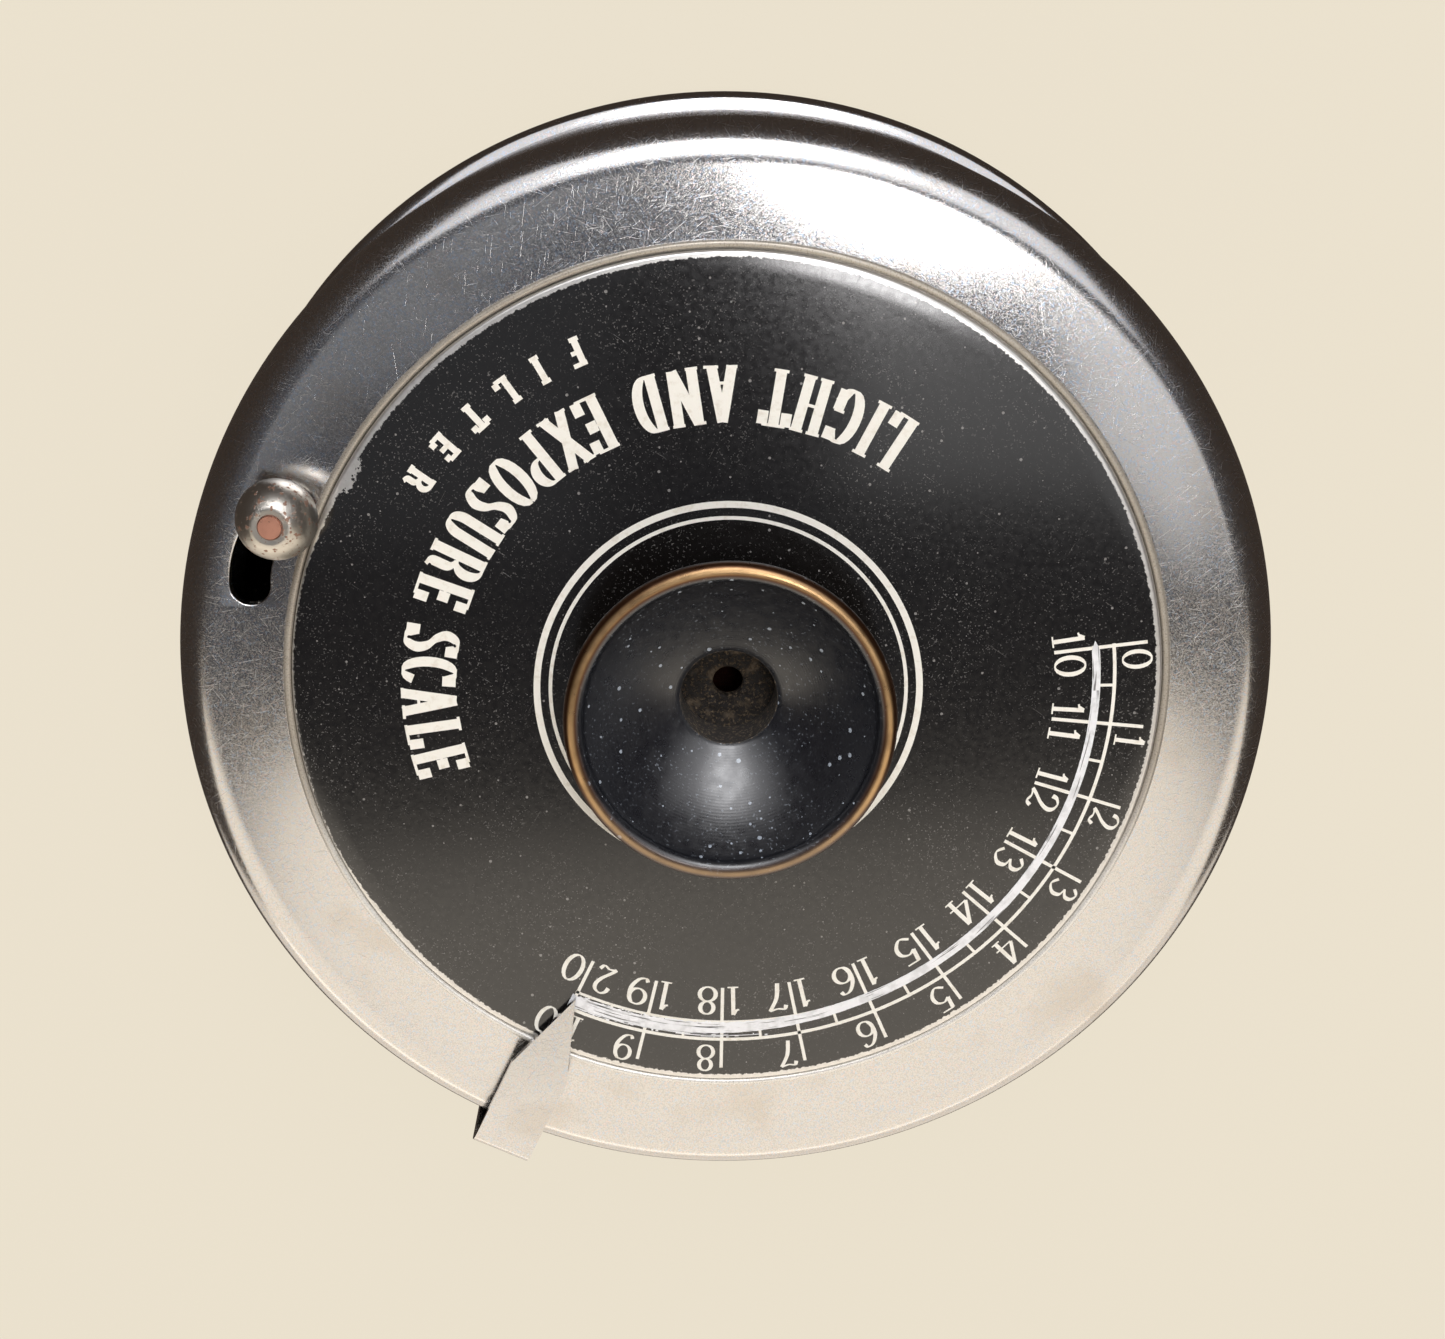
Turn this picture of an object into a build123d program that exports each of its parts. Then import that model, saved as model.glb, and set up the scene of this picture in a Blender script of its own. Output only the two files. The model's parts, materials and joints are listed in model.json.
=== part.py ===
from build123d import *
from math import cos, sin, radians, atan2, degrees, hypot
import os

# Pocket exposure photometer with a circular calculator on its back.
# Millimetres. +Z points out of the dial towards the eye, and the origin is the centre of the flat
# rear rim the instrument rests on. +Y is the top of the dial when its figures stand upright.

# ---- overall sizes
case_radius = 38.0          # outside of the drawn front cover
body_height = 21.6          # rear rim to printed face of the dial
sheet = 0.8                 # cover, dial, back plate and cam plate stock
gap = 0.4                   # between pieces that move past each other
thin_gap = 0.3              # the same, across thin plates
run_fit = 0.05              # radial clearance of a running fit

# ---- front cover and dial
bezel_width = 7.6           # case radius to the edge of the dial's recess
dial_edge_gap = 0.6         # recess edge to dial edge
dial_proud = 0.4            # dial face above the bezel
edge_round = 2.9            # outside rounding of the cover
seam_height = 3.6           # lower edge of the cover above the rear rim

# ---- eyepiece
cup_radius = 10.95          # outside of the rolled rim
cup_rise = 7.4              # rim above the dial
cup_bead = 0.65             # radius of the rolled rim
cup_wall = 0.7
cup_foot_radius = 7.4
cup_foot_height = 0.9
neck_radius = 5.6
well_radius = 3.3
well_rise = 1.4             # mouth of the well above the dial
well_floor = 2.3            # floor of the well below the dial face
bowl_sag = 0.55             # hollow of the bowl beyond a straight cone
peephole_radius = 1.05
peephole_disc_radius = 3.7

# ---- scale and rotor
scale_units = 10
scale_step = 12.23          # degrees for one unit of the dial scale
pointer_rest = 64.67        # bearing of the pointer at the top of the scale
pointer_overrun = 1.3       # degrees of cam slot past each end of the scale
bead_radius = 1.6           # half height of the rear rim's bead
rim_overhang = 1.0          # rear rim beyond the case radius
upstand_height = 7.0
rim_width = 3.8             # rear rim from its edge to the well of the back plate
back_plate_depth = 2.0

# ---- pointer
pointer_width = 4.3
pointer_stock = 0.5
pointer_tip_radius = 25.4
pointer_taper = 6.4         # length of the sharpened end
pointer_foot = 0.7          # end of the leg above the rear rim
pointer_tip_lift = 0.15     # tip above the dial
pointer_rim_lift = 0.5      # pointer above the dial face where it crosses the edge
rivet_radius = 0.45
rivet_pitch = 2.2

# ---- range lever
lever_bearing = 343.9       # bearing of the pivot from the centre
lever_inset = 11.2          # pivot inside the case radius
lever_throw = 50.9          # degrees between the two stops
slot_radius = 6.5           # knob from the pivot
slot_end_bearing = 357.2    # from the pivot to the knob when the filter is in the sight line
slot_width = 2.7
stem_radius = 1.0
knob_radius = 2.68
knob_rise = 2.8             # ball centre above the bezel
knob_top_flat = 2.3         # flat top above the ball centre
knob_rivet_radius = 0.75
lever_stock = 1.0
stud_radius = 1.5
range_glass_radius = 2.25

# ---- optics and slide
hub_radius = 5.0
hub_bore = 3.8
glass = 0.8
barrel_wall = 1.4
slide_half_width = 4.5
slide_stock = 1.6
rail_width = 2.0
pin_radius = 1.0

# ---- calculator disc
disc_radius = 26.0
disc_stock = 0.7
grip_radius = 1.5
grip_count = 2

# ---- screws
post_count = 3
screw_radius = 0.8
screw_head = 0.6

# ---- levels and radii that follow from the sizes above
dial_face = body_height
bezel_face = dial_face - dial_proud
panel_face = dial_face - sheet
panel_under = panel_face - sheet
recess_radius = case_radius - bezel_width
dial_radius = recess_radius - dial_edge_gap
case_bore = case_radius - sheet
rim_radius = case_radius + rim_overhang
upstand_radius = case_bore - gap
seat_radius = upstand_radius - sheet
well_edge = rim_radius - rim_width
cup_top = dial_face + cup_rise
floor_level = dial_face - well_floor
disc_back = floor_level - sheet
neck_end = disc_back - thin_gap
scale_sweep = scale_units * scale_step

back_top = back_plate_depth + sheet
hub_end = back_top + gap
nut_height = 0.5
bush_bottom = hub_end + nut_height + thin_gap
bush_flange = 0.8
cam_bottom = bush_bottom + bush_flange
cam_top = cam_bottom + sheet
hub_shoulder = cam_top + thin_gap
bridge_bottom = cam_top + screw_head + gap
bridge_top = bridge_bottom + 1.0
slide_bottom = bridge_top + gap
slide_top = slide_bottom + slide_stock
rail_top = slide_top + 0.6
barrel_foot = rail_top + sheet

lever_top = neck_end - 2 * gap
lever_bottom = lever_top - lever_stock
holder_bottom = lever_bottom - gap
barrel_top = holder_bottom - gap - 0.1

bush_radius = hub_radius + run_fit
flange_radius = hub_radius + 3.5
post_radius = 1.3
post_ring = dial_radius - 1.8
cam_screw_ring = post_ring - 3.7
cam_radius = cam_screw_ring + 2.2
spiral_start = flange_radius + 1.0
spiral_end = cam_screw_ring - 2.8
slide_travel = spiral_end - spiral_start

lever_pivot_radius = case_radius - lever_inset
lever_rest = slot_end_bearing - lever_throw
filter_rest = lever_bearing + 180 - lever_throw
recess_step = recess_radius + sheet
pivot_x = lever_pivot_radius * cos(radians(lever_bearing))
pivot_y = lever_pivot_radius * sin(radians(lever_bearing))
knob_x = pivot_x + slot_radius * cos(radians(lever_rest))
knob_y = pivot_y + slot_radius * sin(radians(lever_rest))
range_x = pivot_x + lever_pivot_radius * cos(radians(filter_rest))
range_y = pivot_y + lever_pivot_radius * sin(radians(filter_rest))
knob_centre = bezel_face + knob_rise
knob_under = bezel_face + thin_gap

BASE = (Align.CENTER, Align.CENTER, Align.MIN)


def rod(radius, low, high, x=0.0, y=0.0):
    return Pos(x, y, low) * Cylinder(radius, high - low, align=BASE)


def ring(outer, inner, low, high, x=0.0, y=0.0):
    return rod(outer, low, high, x, y) - rod(inner, low - 1, high + 1, x, y)


def block(x0, x1, y0, y1, low, high):
    size = Box(x1 - x0, y1 - y0, high - low, align=(Align.MIN, Align.MIN, Align.MIN))
    return Pos(x0, y0, low) * size


def polar(radius, bearing):
    return radius * cos(radians(bearing)), radius * sin(radians(bearing))


def turned(edges):
    """Body of revolution about Z from edges drawn as (radius, height)."""
    profile = Plane.XZ * make_face(edges)
    return revolve(profile, Axis.Z)


def spaced(count, radius, first=0.0):
    """Positions of equally spaced pieces on a circle."""
    return [polar(radius, first + 360.0 * n / count) for n in range(count)]


def front_cover():
    flat_edge = case_radius - edge_round
    under = bezel_face - sheet
    inner_round = edge_round - sheet
    neck_hole = neck_radius + run_fit
    outer_turn = case_radius - edge_round * (1 - cos(radians(45)))
    outer_drop = bezel_face - edge_round * (1 - sin(radians(45)))
    inner_turn = flat_edge + inner_round * cos(radians(45))
    inner_drop = bezel_face - edge_round + inner_round * sin(radians(45))
    edges = [
        Polyline((case_bore, bezel_face - edge_round), (case_bore, seam_height),
                 (case_radius, seam_height), (case_radius, bezel_face - edge_round)),
        ThreePointArc((case_radius, bezel_face - edge_round), (outer_turn, outer_drop),
                      (flat_edge, bezel_face)),
        Polyline((flat_edge, bezel_face), (recess_radius, bezel_face),
                 (recess_radius, panel_face), (neck_hole, panel_face),
                 (neck_hole, panel_under), (recess_step, panel_under),
                 (recess_step, under), (flat_edge, under)),
        ThreePointArc((flat_edge, under), (inner_turn, inner_drop),
                      (case_bore, bezel_face - edge_round)),
    ]
    cover = turned(edges)
    margin = degrees(thin_gap / slot_radius)
    path = CenterArc((pivot_x, pivot_y), slot_radius, lever_rest - margin, lever_throw + 2 * margin)
    slot = extrude(SlotArc(path, slot_width), 2 * sheet + dial_proud)
    cover -= Pos(0, 0, panel_under) * slot
    for x, y in spaced(post_count, post_ring, 60):
        cover -= Pos(x, y, panel_under) * Cone(screw_radius, 2 * screw_radius, sheet, align=BASE)
    cover -= rod(knob_rivet_radius, panel_under, panel_face, pivot_x, pivot_y)
    return cover


def dial_plate():
    return ring(dial_radius, neck_radius + run_fit, panel_face, dial_face)


def eyepiece_cup():
    rim_z = cup_top - cup_bead
    rim_r = cup_radius - cup_bead
    mouth_r = rim_r - cup_bead
    mouth_z = rim_z
    well_z = dial_face + well_rise
    chord_r = mouth_r - well_radius
    chord_z = mouth_z - well_z
    length = hypot(chord_r, chord_z)
    mid_r = (mouth_r + well_radius) / 2 + bowl_sag * chord_z / length
    mid_z = (mouth_z + well_z) / 2 - bowl_sag * chord_r / length
    foot_z = dial_face + cup_foot_height
    waist_r = cup_foot_radius - cup_wall
    out_r = mid_r + cup_wall
    out_z = mid_z - cup_wall
    edges = [
        Polyline((peephole_disc_radius, floor_level), (peephole_disc_radius, neck_end),
                 (neck_radius, neck_end), (neck_radius, dial_face), (cup_foot_radius, dial_face),
                 (cup_foot_radius, foot_z), (waist_r, foot_z)),
        ThreePointArc((waist_r, foot_z), (out_r, out_z), (cup_radius, rim_z)),
        ThreePointArc((cup_radius, rim_z), (rim_r, cup_top), (mouth_r, mouth_z)),
        ThreePointArc((mouth_r, mouth_z), (mid_r, mid_z), (well_radius, well_z)),
        Polyline((well_radius, well_z), (well_radius, floor_level),
                 (peephole_disc_radius, floor_level)),
    ]
    return turned(edges)


def peephole_disc():
    return ring(peephole_disc_radius, peephole_radius, disc_back, floor_level)


def eyepiece_nut():
    nut = ring(neck_radius + 2.8, neck_radius, panel_under - 1.4, panel_under)
    for side in (-1, 1):
        nut -= Pos(side * (neck_radius + 2.8), 0, panel_under - 1.4) * Box(2.4, 1.2, 1.4)
    return nut


def bridge_plate():
    plate = rod(cam_screw_ring + 7.0, bridge_bottom, bridge_top)
    plate -= rod(hub_radius, bridge_bottom, bridge_top)
    slot_half = pin_radius + gap
    window = block(spiral_start, spiral_end, -slot_half, slot_half, bridge_bottom, bridge_top)
    for x in (spiral_start, spiral_end):
        window += rod(slot_half, bridge_bottom, bridge_top, x)
    plate -= window
    for x, y in spaced(post_count, post_ring, 60):
        plate -= rod(screw_radius, bridge_bottom, bridge_top, x, y)
    for x, y in rail_screw_spots():
        plate -= rod(screw_radius, bridge_bottom, bridge_top, x, y)
    return plate


def hub_tube():
    tube = ring(hub_radius, hub_bore, hub_end, bridge_top)
    return tube + ring(hub_radius + 1.5, hub_bore, hub_shoulder, bridge_bottom)


def hub_nut():
    return ring(hub_radius + 1.8, hub_radius, hub_end, hub_end + nut_height)


def pillars():
    solids = []
    for x, y in spaced(post_count, post_ring, 60):
        pillar = rod(2 * screw_radius + 0.2, bridge_top, panel_under, x, y)
        pillar -= rod(screw_radius, bridge_top, bridge_top + 3, x, y)
        pillar -= rod(screw_radius, panel_under - 3, panel_under, x, y)
        solids.append(pillar)
    return solids


def cover_screws():
    solids = []
    for x, y in spaced(post_count, post_ring, 60):
        head = Pos(x, y, panel_under) * Cone(screw_radius, 2 * screw_radius, sheet, align=BASE)
        screw = head + rod(screw_radius, panel_under - 3, panel_under, x, y)
        screw -= Pos(x, y, panel_face) * Box(4 * screw_radius, 0.3, 0.5)
        solids.append(screw)
    return solids


def cheese_head(x, y, face, down, depth):
    """Slotted screw whose head stands on a face; down is -1 when the head hangs below it."""
    low, high = sorted((face, face + down * screw_head))
    inner, outer = sorted((face, face - down * depth))
    screw = rod(screw_radius + 0.3, low, high, x, y) + rod(screw_radius, inner, outer, x, y)
    return screw - Pos(x, y, face + down * screw_head) * Box(4, 0.3, screw_head)


def pillar_screws():
    depth = bridge_top - bridge_bottom + 3
    return [cheese_head(x, y, bridge_bottom, -1, depth) for x, y in spaced(post_count, post_ring, 60)]


def rail_ends():
    """Slide rails run from the carrier's rest end to its far end."""
    return -slide_travel - 4.0, spiral_end + 3.5


def rail_screw_spots():
    start, end = rail_ends()
    side = slide_half_width + thin_gap + rail_width / 2
    return [(x, s * side) for x in (start + 1.5, end - 1.5) for s in (-1, 1)]


def guide_rails():
    start, end = rail_ends()
    inner = slide_half_width + thin_gap
    solids = []
    for side in (-1, 1):
        low, high = sorted((side * inner, side * (inner + rail_width)))
        rail = block(start, end, low, high, bridge_top, rail_top)
        for x, y in rail_screw_spots():
            rail -= rod(screw_radius, bridge_top, rail_top, x, y)
        solids.append(rail)
    return solids


def rail_screws():
    depth = rail_top - bridge_bottom
    return [cheese_head(x, y, rail_top, 1, depth) for x, y in rail_screw_spots()]


def barrel_bridge():
    reach = slide_half_width + thin_gap + rail_width
    bridge = block(-6.0, 6.0, -reach, reach, rail_top, barrel_foot)
    return bridge - rod(range_glass_radius + 0.75, rail_top, barrel_foot)


def light_barrel():
    bore = range_glass_radius + 0.75
    seat = bore + 0.6
    barrel = ring(bore + barrel_wall, bore, barrel_foot, barrel_top)
    return barrel - rod(seat, barrel_top - glass - gap, barrel_top)


def blue_filter():
    seat = range_glass_radius + 1.35
    return rod(seat, barrel_top - glass - gap, barrel_top - gap)


def filter_ring():
    seat = range_glass_radius + 1.35
    return ring(seat, seat - 1.0, barrel_top - gap, barrel_top)


def lever_stud():
    stud = rod(stud_radius, holder_bottom - 0.2, panel_under, pivot_x, pivot_y)
    stud += rod(stud_radius + 1.1, lever_top + gap, panel_under, pivot_x, pivot_y)
    stud += rod(knob_rivet_radius, panel_under, panel_face, pivot_x, pivot_y)
    groove = holder_bottom + 0.1
    return stud - ring(stud_radius + 1, stud_radius - 0.4, groove - 0.15, groove + 0.15,
                       pivot_x, pivot_y)


def stud_clip():
    groove = holder_bottom + 0.1
    clip = ring(stud_radius + 1.2, stud_radius - 0.4, groove - 0.15, groove + 0.15, pivot_x, pivot_y)
    return clip - block(pivot_x, pivot_x + 4, pivot_y - 0.9, pivot_y + 0.9, groove - 1, groove + 1)


def friction_washer():
    low = lever_top
    return ring(stud_radius + 1.0, stud_radius + run_fit, low, low + thin_gap, pivot_x, pivot_y)


def lever_outline(x0, y0, r0, x1, y1, r1):
    """Tapered bar with round ends of two radii, as a flat face."""
    reach = hypot(x1 - x0, y1 - y0)
    lean = degrees(atan2(y1 - y0, x1 - x0))
    taper = make_face(Polyline((0, -r0), (reach, -r1), (reach, r1), (0, r0), close=True))
    bar = Pos(x0, y0) * Rot(0, 0, lean) * taper
    return bar + Pos(x0, y0) * Circle(r0) + Pos(x1, y1) * Circle(r1)


def lever_arm():
    eye = range_glass_radius + 1.55
    flat = lever_outline(pivot_x, pivot_y, 2.8, knob_x, knob_y, 1.9)
    flat += lever_outline(pivot_x, pivot_y, 2.8, range_x, range_y, eye)
    arm = Pos(0, 0, lever_bottom) * extrude(flat, lever_stock)
    arm -= rod(stud_radius + run_fit, lever_bottom, lever_top, pivot_x, pivot_y)
    arm -= rod(stem_radius, lever_bottom, lever_top, knob_x, knob_y)
    return arm - rod(eye - 0.9, lever_bottom, lever_top, range_x, range_y)


def filter_holder():
    outer = range_glass_radius + 0.65
    cell = rod(outer, holder_bottom, lever_top + 0.2, range_x, range_y)
    cell -= rod(range_glass_radius, holder_bottom + gap, lever_top + 1, range_x, range_y)
    return cell - rod(range_glass_radius - gap, holder_bottom - 1, lever_top, range_x, range_y)


def range_filter():
    low = holder_bottom + gap
    return rod(range_glass_radius, low, low + glass, range_x, range_y)


def knob_stem():
    stem = rod(stem_radius, lever_bottom, knob_under, knob_x, knob_y)
    stem += rod(stem_radius + 0.8, lever_top, lever_top + 0.8, knob_x, knob_y)
    return stem + rod(knob_rivet_radius, knob_under, knob_centre + knob_top_flat + 0.15, knob_x, knob_y)


def ball_knob():
    ball = Pos(knob_x, knob_y, knob_centre) * Sphere(knob_radius)
    keep = rod(knob_radius + 1, knob_under, knob_centre + knob_top_flat, knob_x, knob_y)
    return (ball & keep) - rod(knob_rivet_radius, knob_under - 1, knob_centre + 5, knob_x, knob_y)


def leg_inner():
    """Radius of the pointer leg's inner face, clear of the cover's wall."""
    return rim_radius - pointer_stock + run_fit


def pointer_frame():
    """Plane along the pointer: X outwards, Y up."""
    x, y = polar(1, pointer_rest)
    return Plane(origin=(0, 0, 0), x_dir=(x, y, 0), z_dir=(y, -x, 0))


def rear_ring():
    centre_r = rim_radius - bead_radius
    edges = [
        Polyline((centre_r, 0), (well_edge, 0), (well_edge, back_plate_depth),
                 (seat_radius, back_plate_depth), (seat_radius, upstand_height),
                 (upstand_radius, upstand_height), (upstand_radius, 2 * bead_radius),
                 (centre_r, 2 * bead_radius)),
        ThreePointArc((centre_r, 2 * bead_radius), (rim_radius, bead_radius), (centre_r, 0)),
    ]
    ring_body = turned(edges)
    x, y = polar(leg_inner(), pointer_rest)
    half = pointer_width / 2 + run_fit
    notch = Box(4, 2 * half, 4, align=(Align.MIN, Align.CENTER, Align.MIN))
    ring_body -= Pos(x, y, pointer_foot) * Rot(0, 0, pointer_rest) * notch
    for spot in rivet_spots():
        ring_body -= spot * Cylinder(rivet_radius, 3, align=(Align.CENTER, Align.CENTER, Align.MAX))
    return ring_body


def rivet_spots():
    """Frames of the two pointer rivets, Z pointing out of the leg."""
    spots = []
    x, y = polar(1, pointer_rest)
    for side in (-1, 1):
        shift = side * rivet_pitch / 2
        origin = (x * (leg_inner() + pointer_stock) - y * shift,
                  y * (leg_inner() + pointer_stock) + x * shift, bead_radius + 0.2)
        spots.append(Plane(origin=origin, z_dir=(x, y, 0)).location)
    return spots


def pointer():
    inner = leg_inner()
    outer = inner + pointer_stock
    rim_low = dial_face + pointer_rim_lift
    tip_low = dial_face + pointer_tip_lift
    bend = 2 * pointer_stock
    corner = sin(radians(45)) * bend
    small = bend - pointer_stock
    small_corner = sin(radians(45)) * small
    centre_r = outer - bend
    centre_z = rim_low + pointer_stock - bend
    edges = [
        Polyline((inner, centre_z), (inner, pointer_foot), (outer, pointer_foot), (outer, centre_z)),
        ThreePointArc((outer, centre_z), (centre_r + corner, centre_z + corner),
                      (centre_r, rim_low + pointer_stock)),
        Polyline((centre_r, rim_low + pointer_stock),
                 (pointer_tip_radius, tip_low + pointer_stock),
                 (pointer_tip_radius, tip_low), (centre_r, rim_low)),
        ThreePointArc((centre_r, rim_low), (centre_r + small_corner, centre_z + small_corner),
                      (inner, centre_z)),
    ]
    strip = extrude(pointer_frame() * make_face(edges), pointer_width, both=True)
    half = pointer_width / 2
    shoulder = pointer_tip_radius + pointer_taper
    plan = make_face(Polyline((pointer_tip_radius, 0), (shoulder, -half), (outer + 1, -half),
                              (outer + 1, half), (shoulder, half), close=True))
    mask = extrude(Rot(0, 0, pointer_rest) * plan, cup_top)
    strip = strip & mask
    for spot in rivet_spots():
        strip -= spot * Cylinder(rivet_radius, 4)
    return strip


def pointer_rivets():
    solids = []
    for spot in rivet_spots():
        shank = Cylinder(rivet_radius, pointer_stock + 1.2, align=(Align.CENTER, Align.CENTER, Align.MAX))
        head = Sphere(2 * rivet_radius) & Pos(0, 0, 2 * rivet_radius) * Box(4, 4, 4 * rivet_radius)
        head = Pos(0, 0, -1.6 * rivet_radius) * head
        head = head & Pos(0, 0, 0.5) * Box(4, 4, 1)
        solids.append(spot * (shank + head))
    return solids


def back_plate():
    plate = ring(seat_radius, barrel_seat(), back_plate_depth, back_top)
    for x, y in spaced(post_count, cam_screw_ring, 30):
        plate -= rod(screw_radius, back_plate_depth, back_top, x, y)
    return plate


def barrel_seat():
    """Radius of the window bezel where it passes through the back plate."""
    return hub_radius + 0.4


def cam_posts():
    solids = []
    for x, y in spaced(post_count, cam_screw_ring, 30):
        solids.append(ring(post_radius, screw_radius, back_top, cam_bottom, x, y))
    return solids


def cam_screws():
    depth = cam_top - back_plate_depth
    return [cheese_head(x, y, cam_top, 1, depth) for x, y in spaced(post_count, cam_screw_ring, 30)]


def spiral_point(turn, side):
    """Point on the cam slot after a turn in degrees, side mm to the outside of its centreline."""
    pitch = slide_travel / radians(scale_sweep)
    radius = spiral_start + slide_travel * turn / scale_sweep
    x, y = polar(radius, -turn)
    along = atan2(pitch, radius)
    dx, dy = polar(side, degrees(along) - turn)
    return x + dx, y + dy


def spiral_slot():
    half = pin_radius + run_fit
    first = -pointer_overrun
    last = scale_sweep + pointer_overrun
    steps = 24
    turns = [first + (last - first) * n / steps for n in range(steps + 1)]
    outer = [spiral_point(t, half) for t in turns]
    inner = [spiral_point(t, -half) for t in turns]
    tail = degrees(half / spiral_start)
    nose = degrees(half / spiral_end)
    edges = [
        Spline(*outer),
        ThreePointArc(outer[-1], spiral_point(last + nose, 0), inner[-1]),
        Spline(*inner[::-1]),
        ThreePointArc(inner[0], spiral_point(first - tail, 0), outer[0]),
    ]
    return extrude(make_face(edges), sheet)


def cam_plate():
    plate = ring(cam_radius, hub_radius + 1.5, cam_bottom, cam_top)
    plate -= Pos(0, 0, cam_bottom) * spiral_slot()
    for x, y in spaced(post_count, cam_screw_ring, 30):
        plate -= rod(screw_radius, cam_bottom, cam_top, x, y)
    return plate


def hub_bush():
    flange = ring(flange_radius, bush_radius, bush_bottom, cam_bottom)
    return flange + ring(hub_radius + 1.5, bush_radius, cam_bottom, cam_top)


def window_bezel():
    lip = thin_gap
    body = rod(disc_bore() - run_fit, lip, back_plate_depth)
    body += rod(disc_bore() + 1.4, lip, lip + gap)
    body += rod(barrel_seat(), back_plate_depth, back_top)
    body -= rod(hub_bore - 0.2, lip, back_top)
    return body - rod(hub_bore + 0.8, back_top - glass - thin_gap, back_top)


def disc_bore():
    return hub_radius + 1.25


def window_glass():
    return rod(hub_bore + 0.8, back_top - glass - thin_gap, back_top - thin_gap)


def glass_ring():
    return ring(hub_bore + 0.8, hub_bore, back_top - thin_gap, back_top)


def slide_carrier():
    start = -slide_travel - 3.0
    end = spiral_start + 2.5
    carrier = block(start, end, -slide_half_width, slide_half_width, slide_bottom, slide_top)
    low, high = wedge_span()
    carrier -= block(low, high, -2.6, 2.6, slide_bottom + thin_gap, slide_top)
    carrier -= block(low + gap, high - gap, -2.2, 2.2, slide_bottom, slide_top)
    return carrier - rod(pin_radius, slide_bottom, slide_top, spiral_start)


def wedge_span():
    return -slide_travel - 2.0, 2.0


def wedge_glass():
    low, high = wedge_span()
    base = slide_bottom + thin_gap
    side = make_face(Polyline((low, base), (high, base), (high, base + gap),
                              (low, base + glass + gap), close=True))
    return extrude(Plane.XZ * side, 2.6, both=True)


def follower_pin():
    return rod(pin_radius, cam_bottom + 0.1, slide_top, spiral_start)


def disc_low():
    return back_plate_depth - thin_gap - disc_stock


def calculator_disc():
    disc = ring(disc_radius, disc_bore(), disc_low(), disc_low() + disc_stock)
    for x, y in spaced(grip_count, disc_radius - 3.2):
        disc -= rod(grip_radius / 2, disc_low(), disc_low() + disc_stock, x, y)
    return disc


def disc_grips():
    solids = []
    for x, y in spaced(grip_count, disc_radius - 3.2):
        grip = rod(grip_radius, thin_gap, disc_low(), x, y)
        solids.append(grip + rod(grip_radius / 2, disc_low(), disc_low() + disc_stock, x, y))
    return solids


PIECES = [
    front_cover, dial_plate, eyepiece_cup, peephole_disc, eyepiece_nut, bridge_plate, hub_tube,
    hub_nut, pillars, cover_screws, pillar_screws, guide_rails, rail_screws, barrel_bridge,
    light_barrel, blue_filter, filter_ring, lever_stud, stud_clip, lever_arm, friction_washer,
    filter_holder, range_filter, knob_stem, ball_knob, rear_ring, pointer, pointer_rivets,
    back_plate, cam_posts, cam_screws, cam_plate, hub_bush, window_bezel, window_glass,
    glass_ring, slide_carrier, wedge_glass, follower_pin, calculator_disc, disc_grips,
]


def main():
    os.makedirs("parts", exist_ok=True)
    for make in PIECES:
        shape = make()
        if isinstance(shape, list):
            shape = Compound(children=shape)
        export_step(shape, f"parts/{make.__name__}.step")


if __name__ == "__main__":
    main()
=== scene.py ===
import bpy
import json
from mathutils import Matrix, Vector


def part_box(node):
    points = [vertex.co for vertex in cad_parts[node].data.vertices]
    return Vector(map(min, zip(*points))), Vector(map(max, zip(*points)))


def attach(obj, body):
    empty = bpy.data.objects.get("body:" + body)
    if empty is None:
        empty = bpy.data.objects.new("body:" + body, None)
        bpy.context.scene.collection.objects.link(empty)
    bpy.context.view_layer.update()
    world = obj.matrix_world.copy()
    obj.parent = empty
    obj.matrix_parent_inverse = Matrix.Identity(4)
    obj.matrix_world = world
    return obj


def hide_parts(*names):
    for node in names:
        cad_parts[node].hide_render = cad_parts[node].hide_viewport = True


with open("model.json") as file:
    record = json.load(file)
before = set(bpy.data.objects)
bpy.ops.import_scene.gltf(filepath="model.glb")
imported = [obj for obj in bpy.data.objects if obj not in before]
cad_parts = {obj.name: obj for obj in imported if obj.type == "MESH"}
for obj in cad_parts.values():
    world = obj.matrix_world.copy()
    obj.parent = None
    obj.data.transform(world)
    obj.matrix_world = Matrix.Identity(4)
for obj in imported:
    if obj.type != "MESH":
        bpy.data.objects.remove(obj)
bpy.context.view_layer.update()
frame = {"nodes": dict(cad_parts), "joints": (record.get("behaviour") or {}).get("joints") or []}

import json
import logging
import math
import random
from dataclasses import dataclass, field
from enum import Enum

import bmesh
import bpy
from mathutils import Matrix, Vector

LOG = logging.getLogger("photometer")
MM = 0.001
FULL_TURN = 2 * math.pi
Point = tuple[float, float]
Colour = tuple[float, float, float]


class Body(str, Enum):
    """Moving bodies of the instrument."""

    CASE = "case"
    LEVER = "range_lever"
    ROTOR = "rotor"
    SLIDE = "wedge_slide"
    CALCULATOR = "calculator"


class Side(Enum):
    """Which way a printed face looks."""

    DIAL = 1
    BACK = -1


class Weight(Enum):
    """Pen used for a line of lettering: (thin half width, thick half width) per unit of height."""

    FIGURE = (0.023, 0.061)
    TITLE = (0.026, 0.086)
    PLAIN = (0.085, 0.085)
    FINE = (0.045, 0.06)


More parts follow.
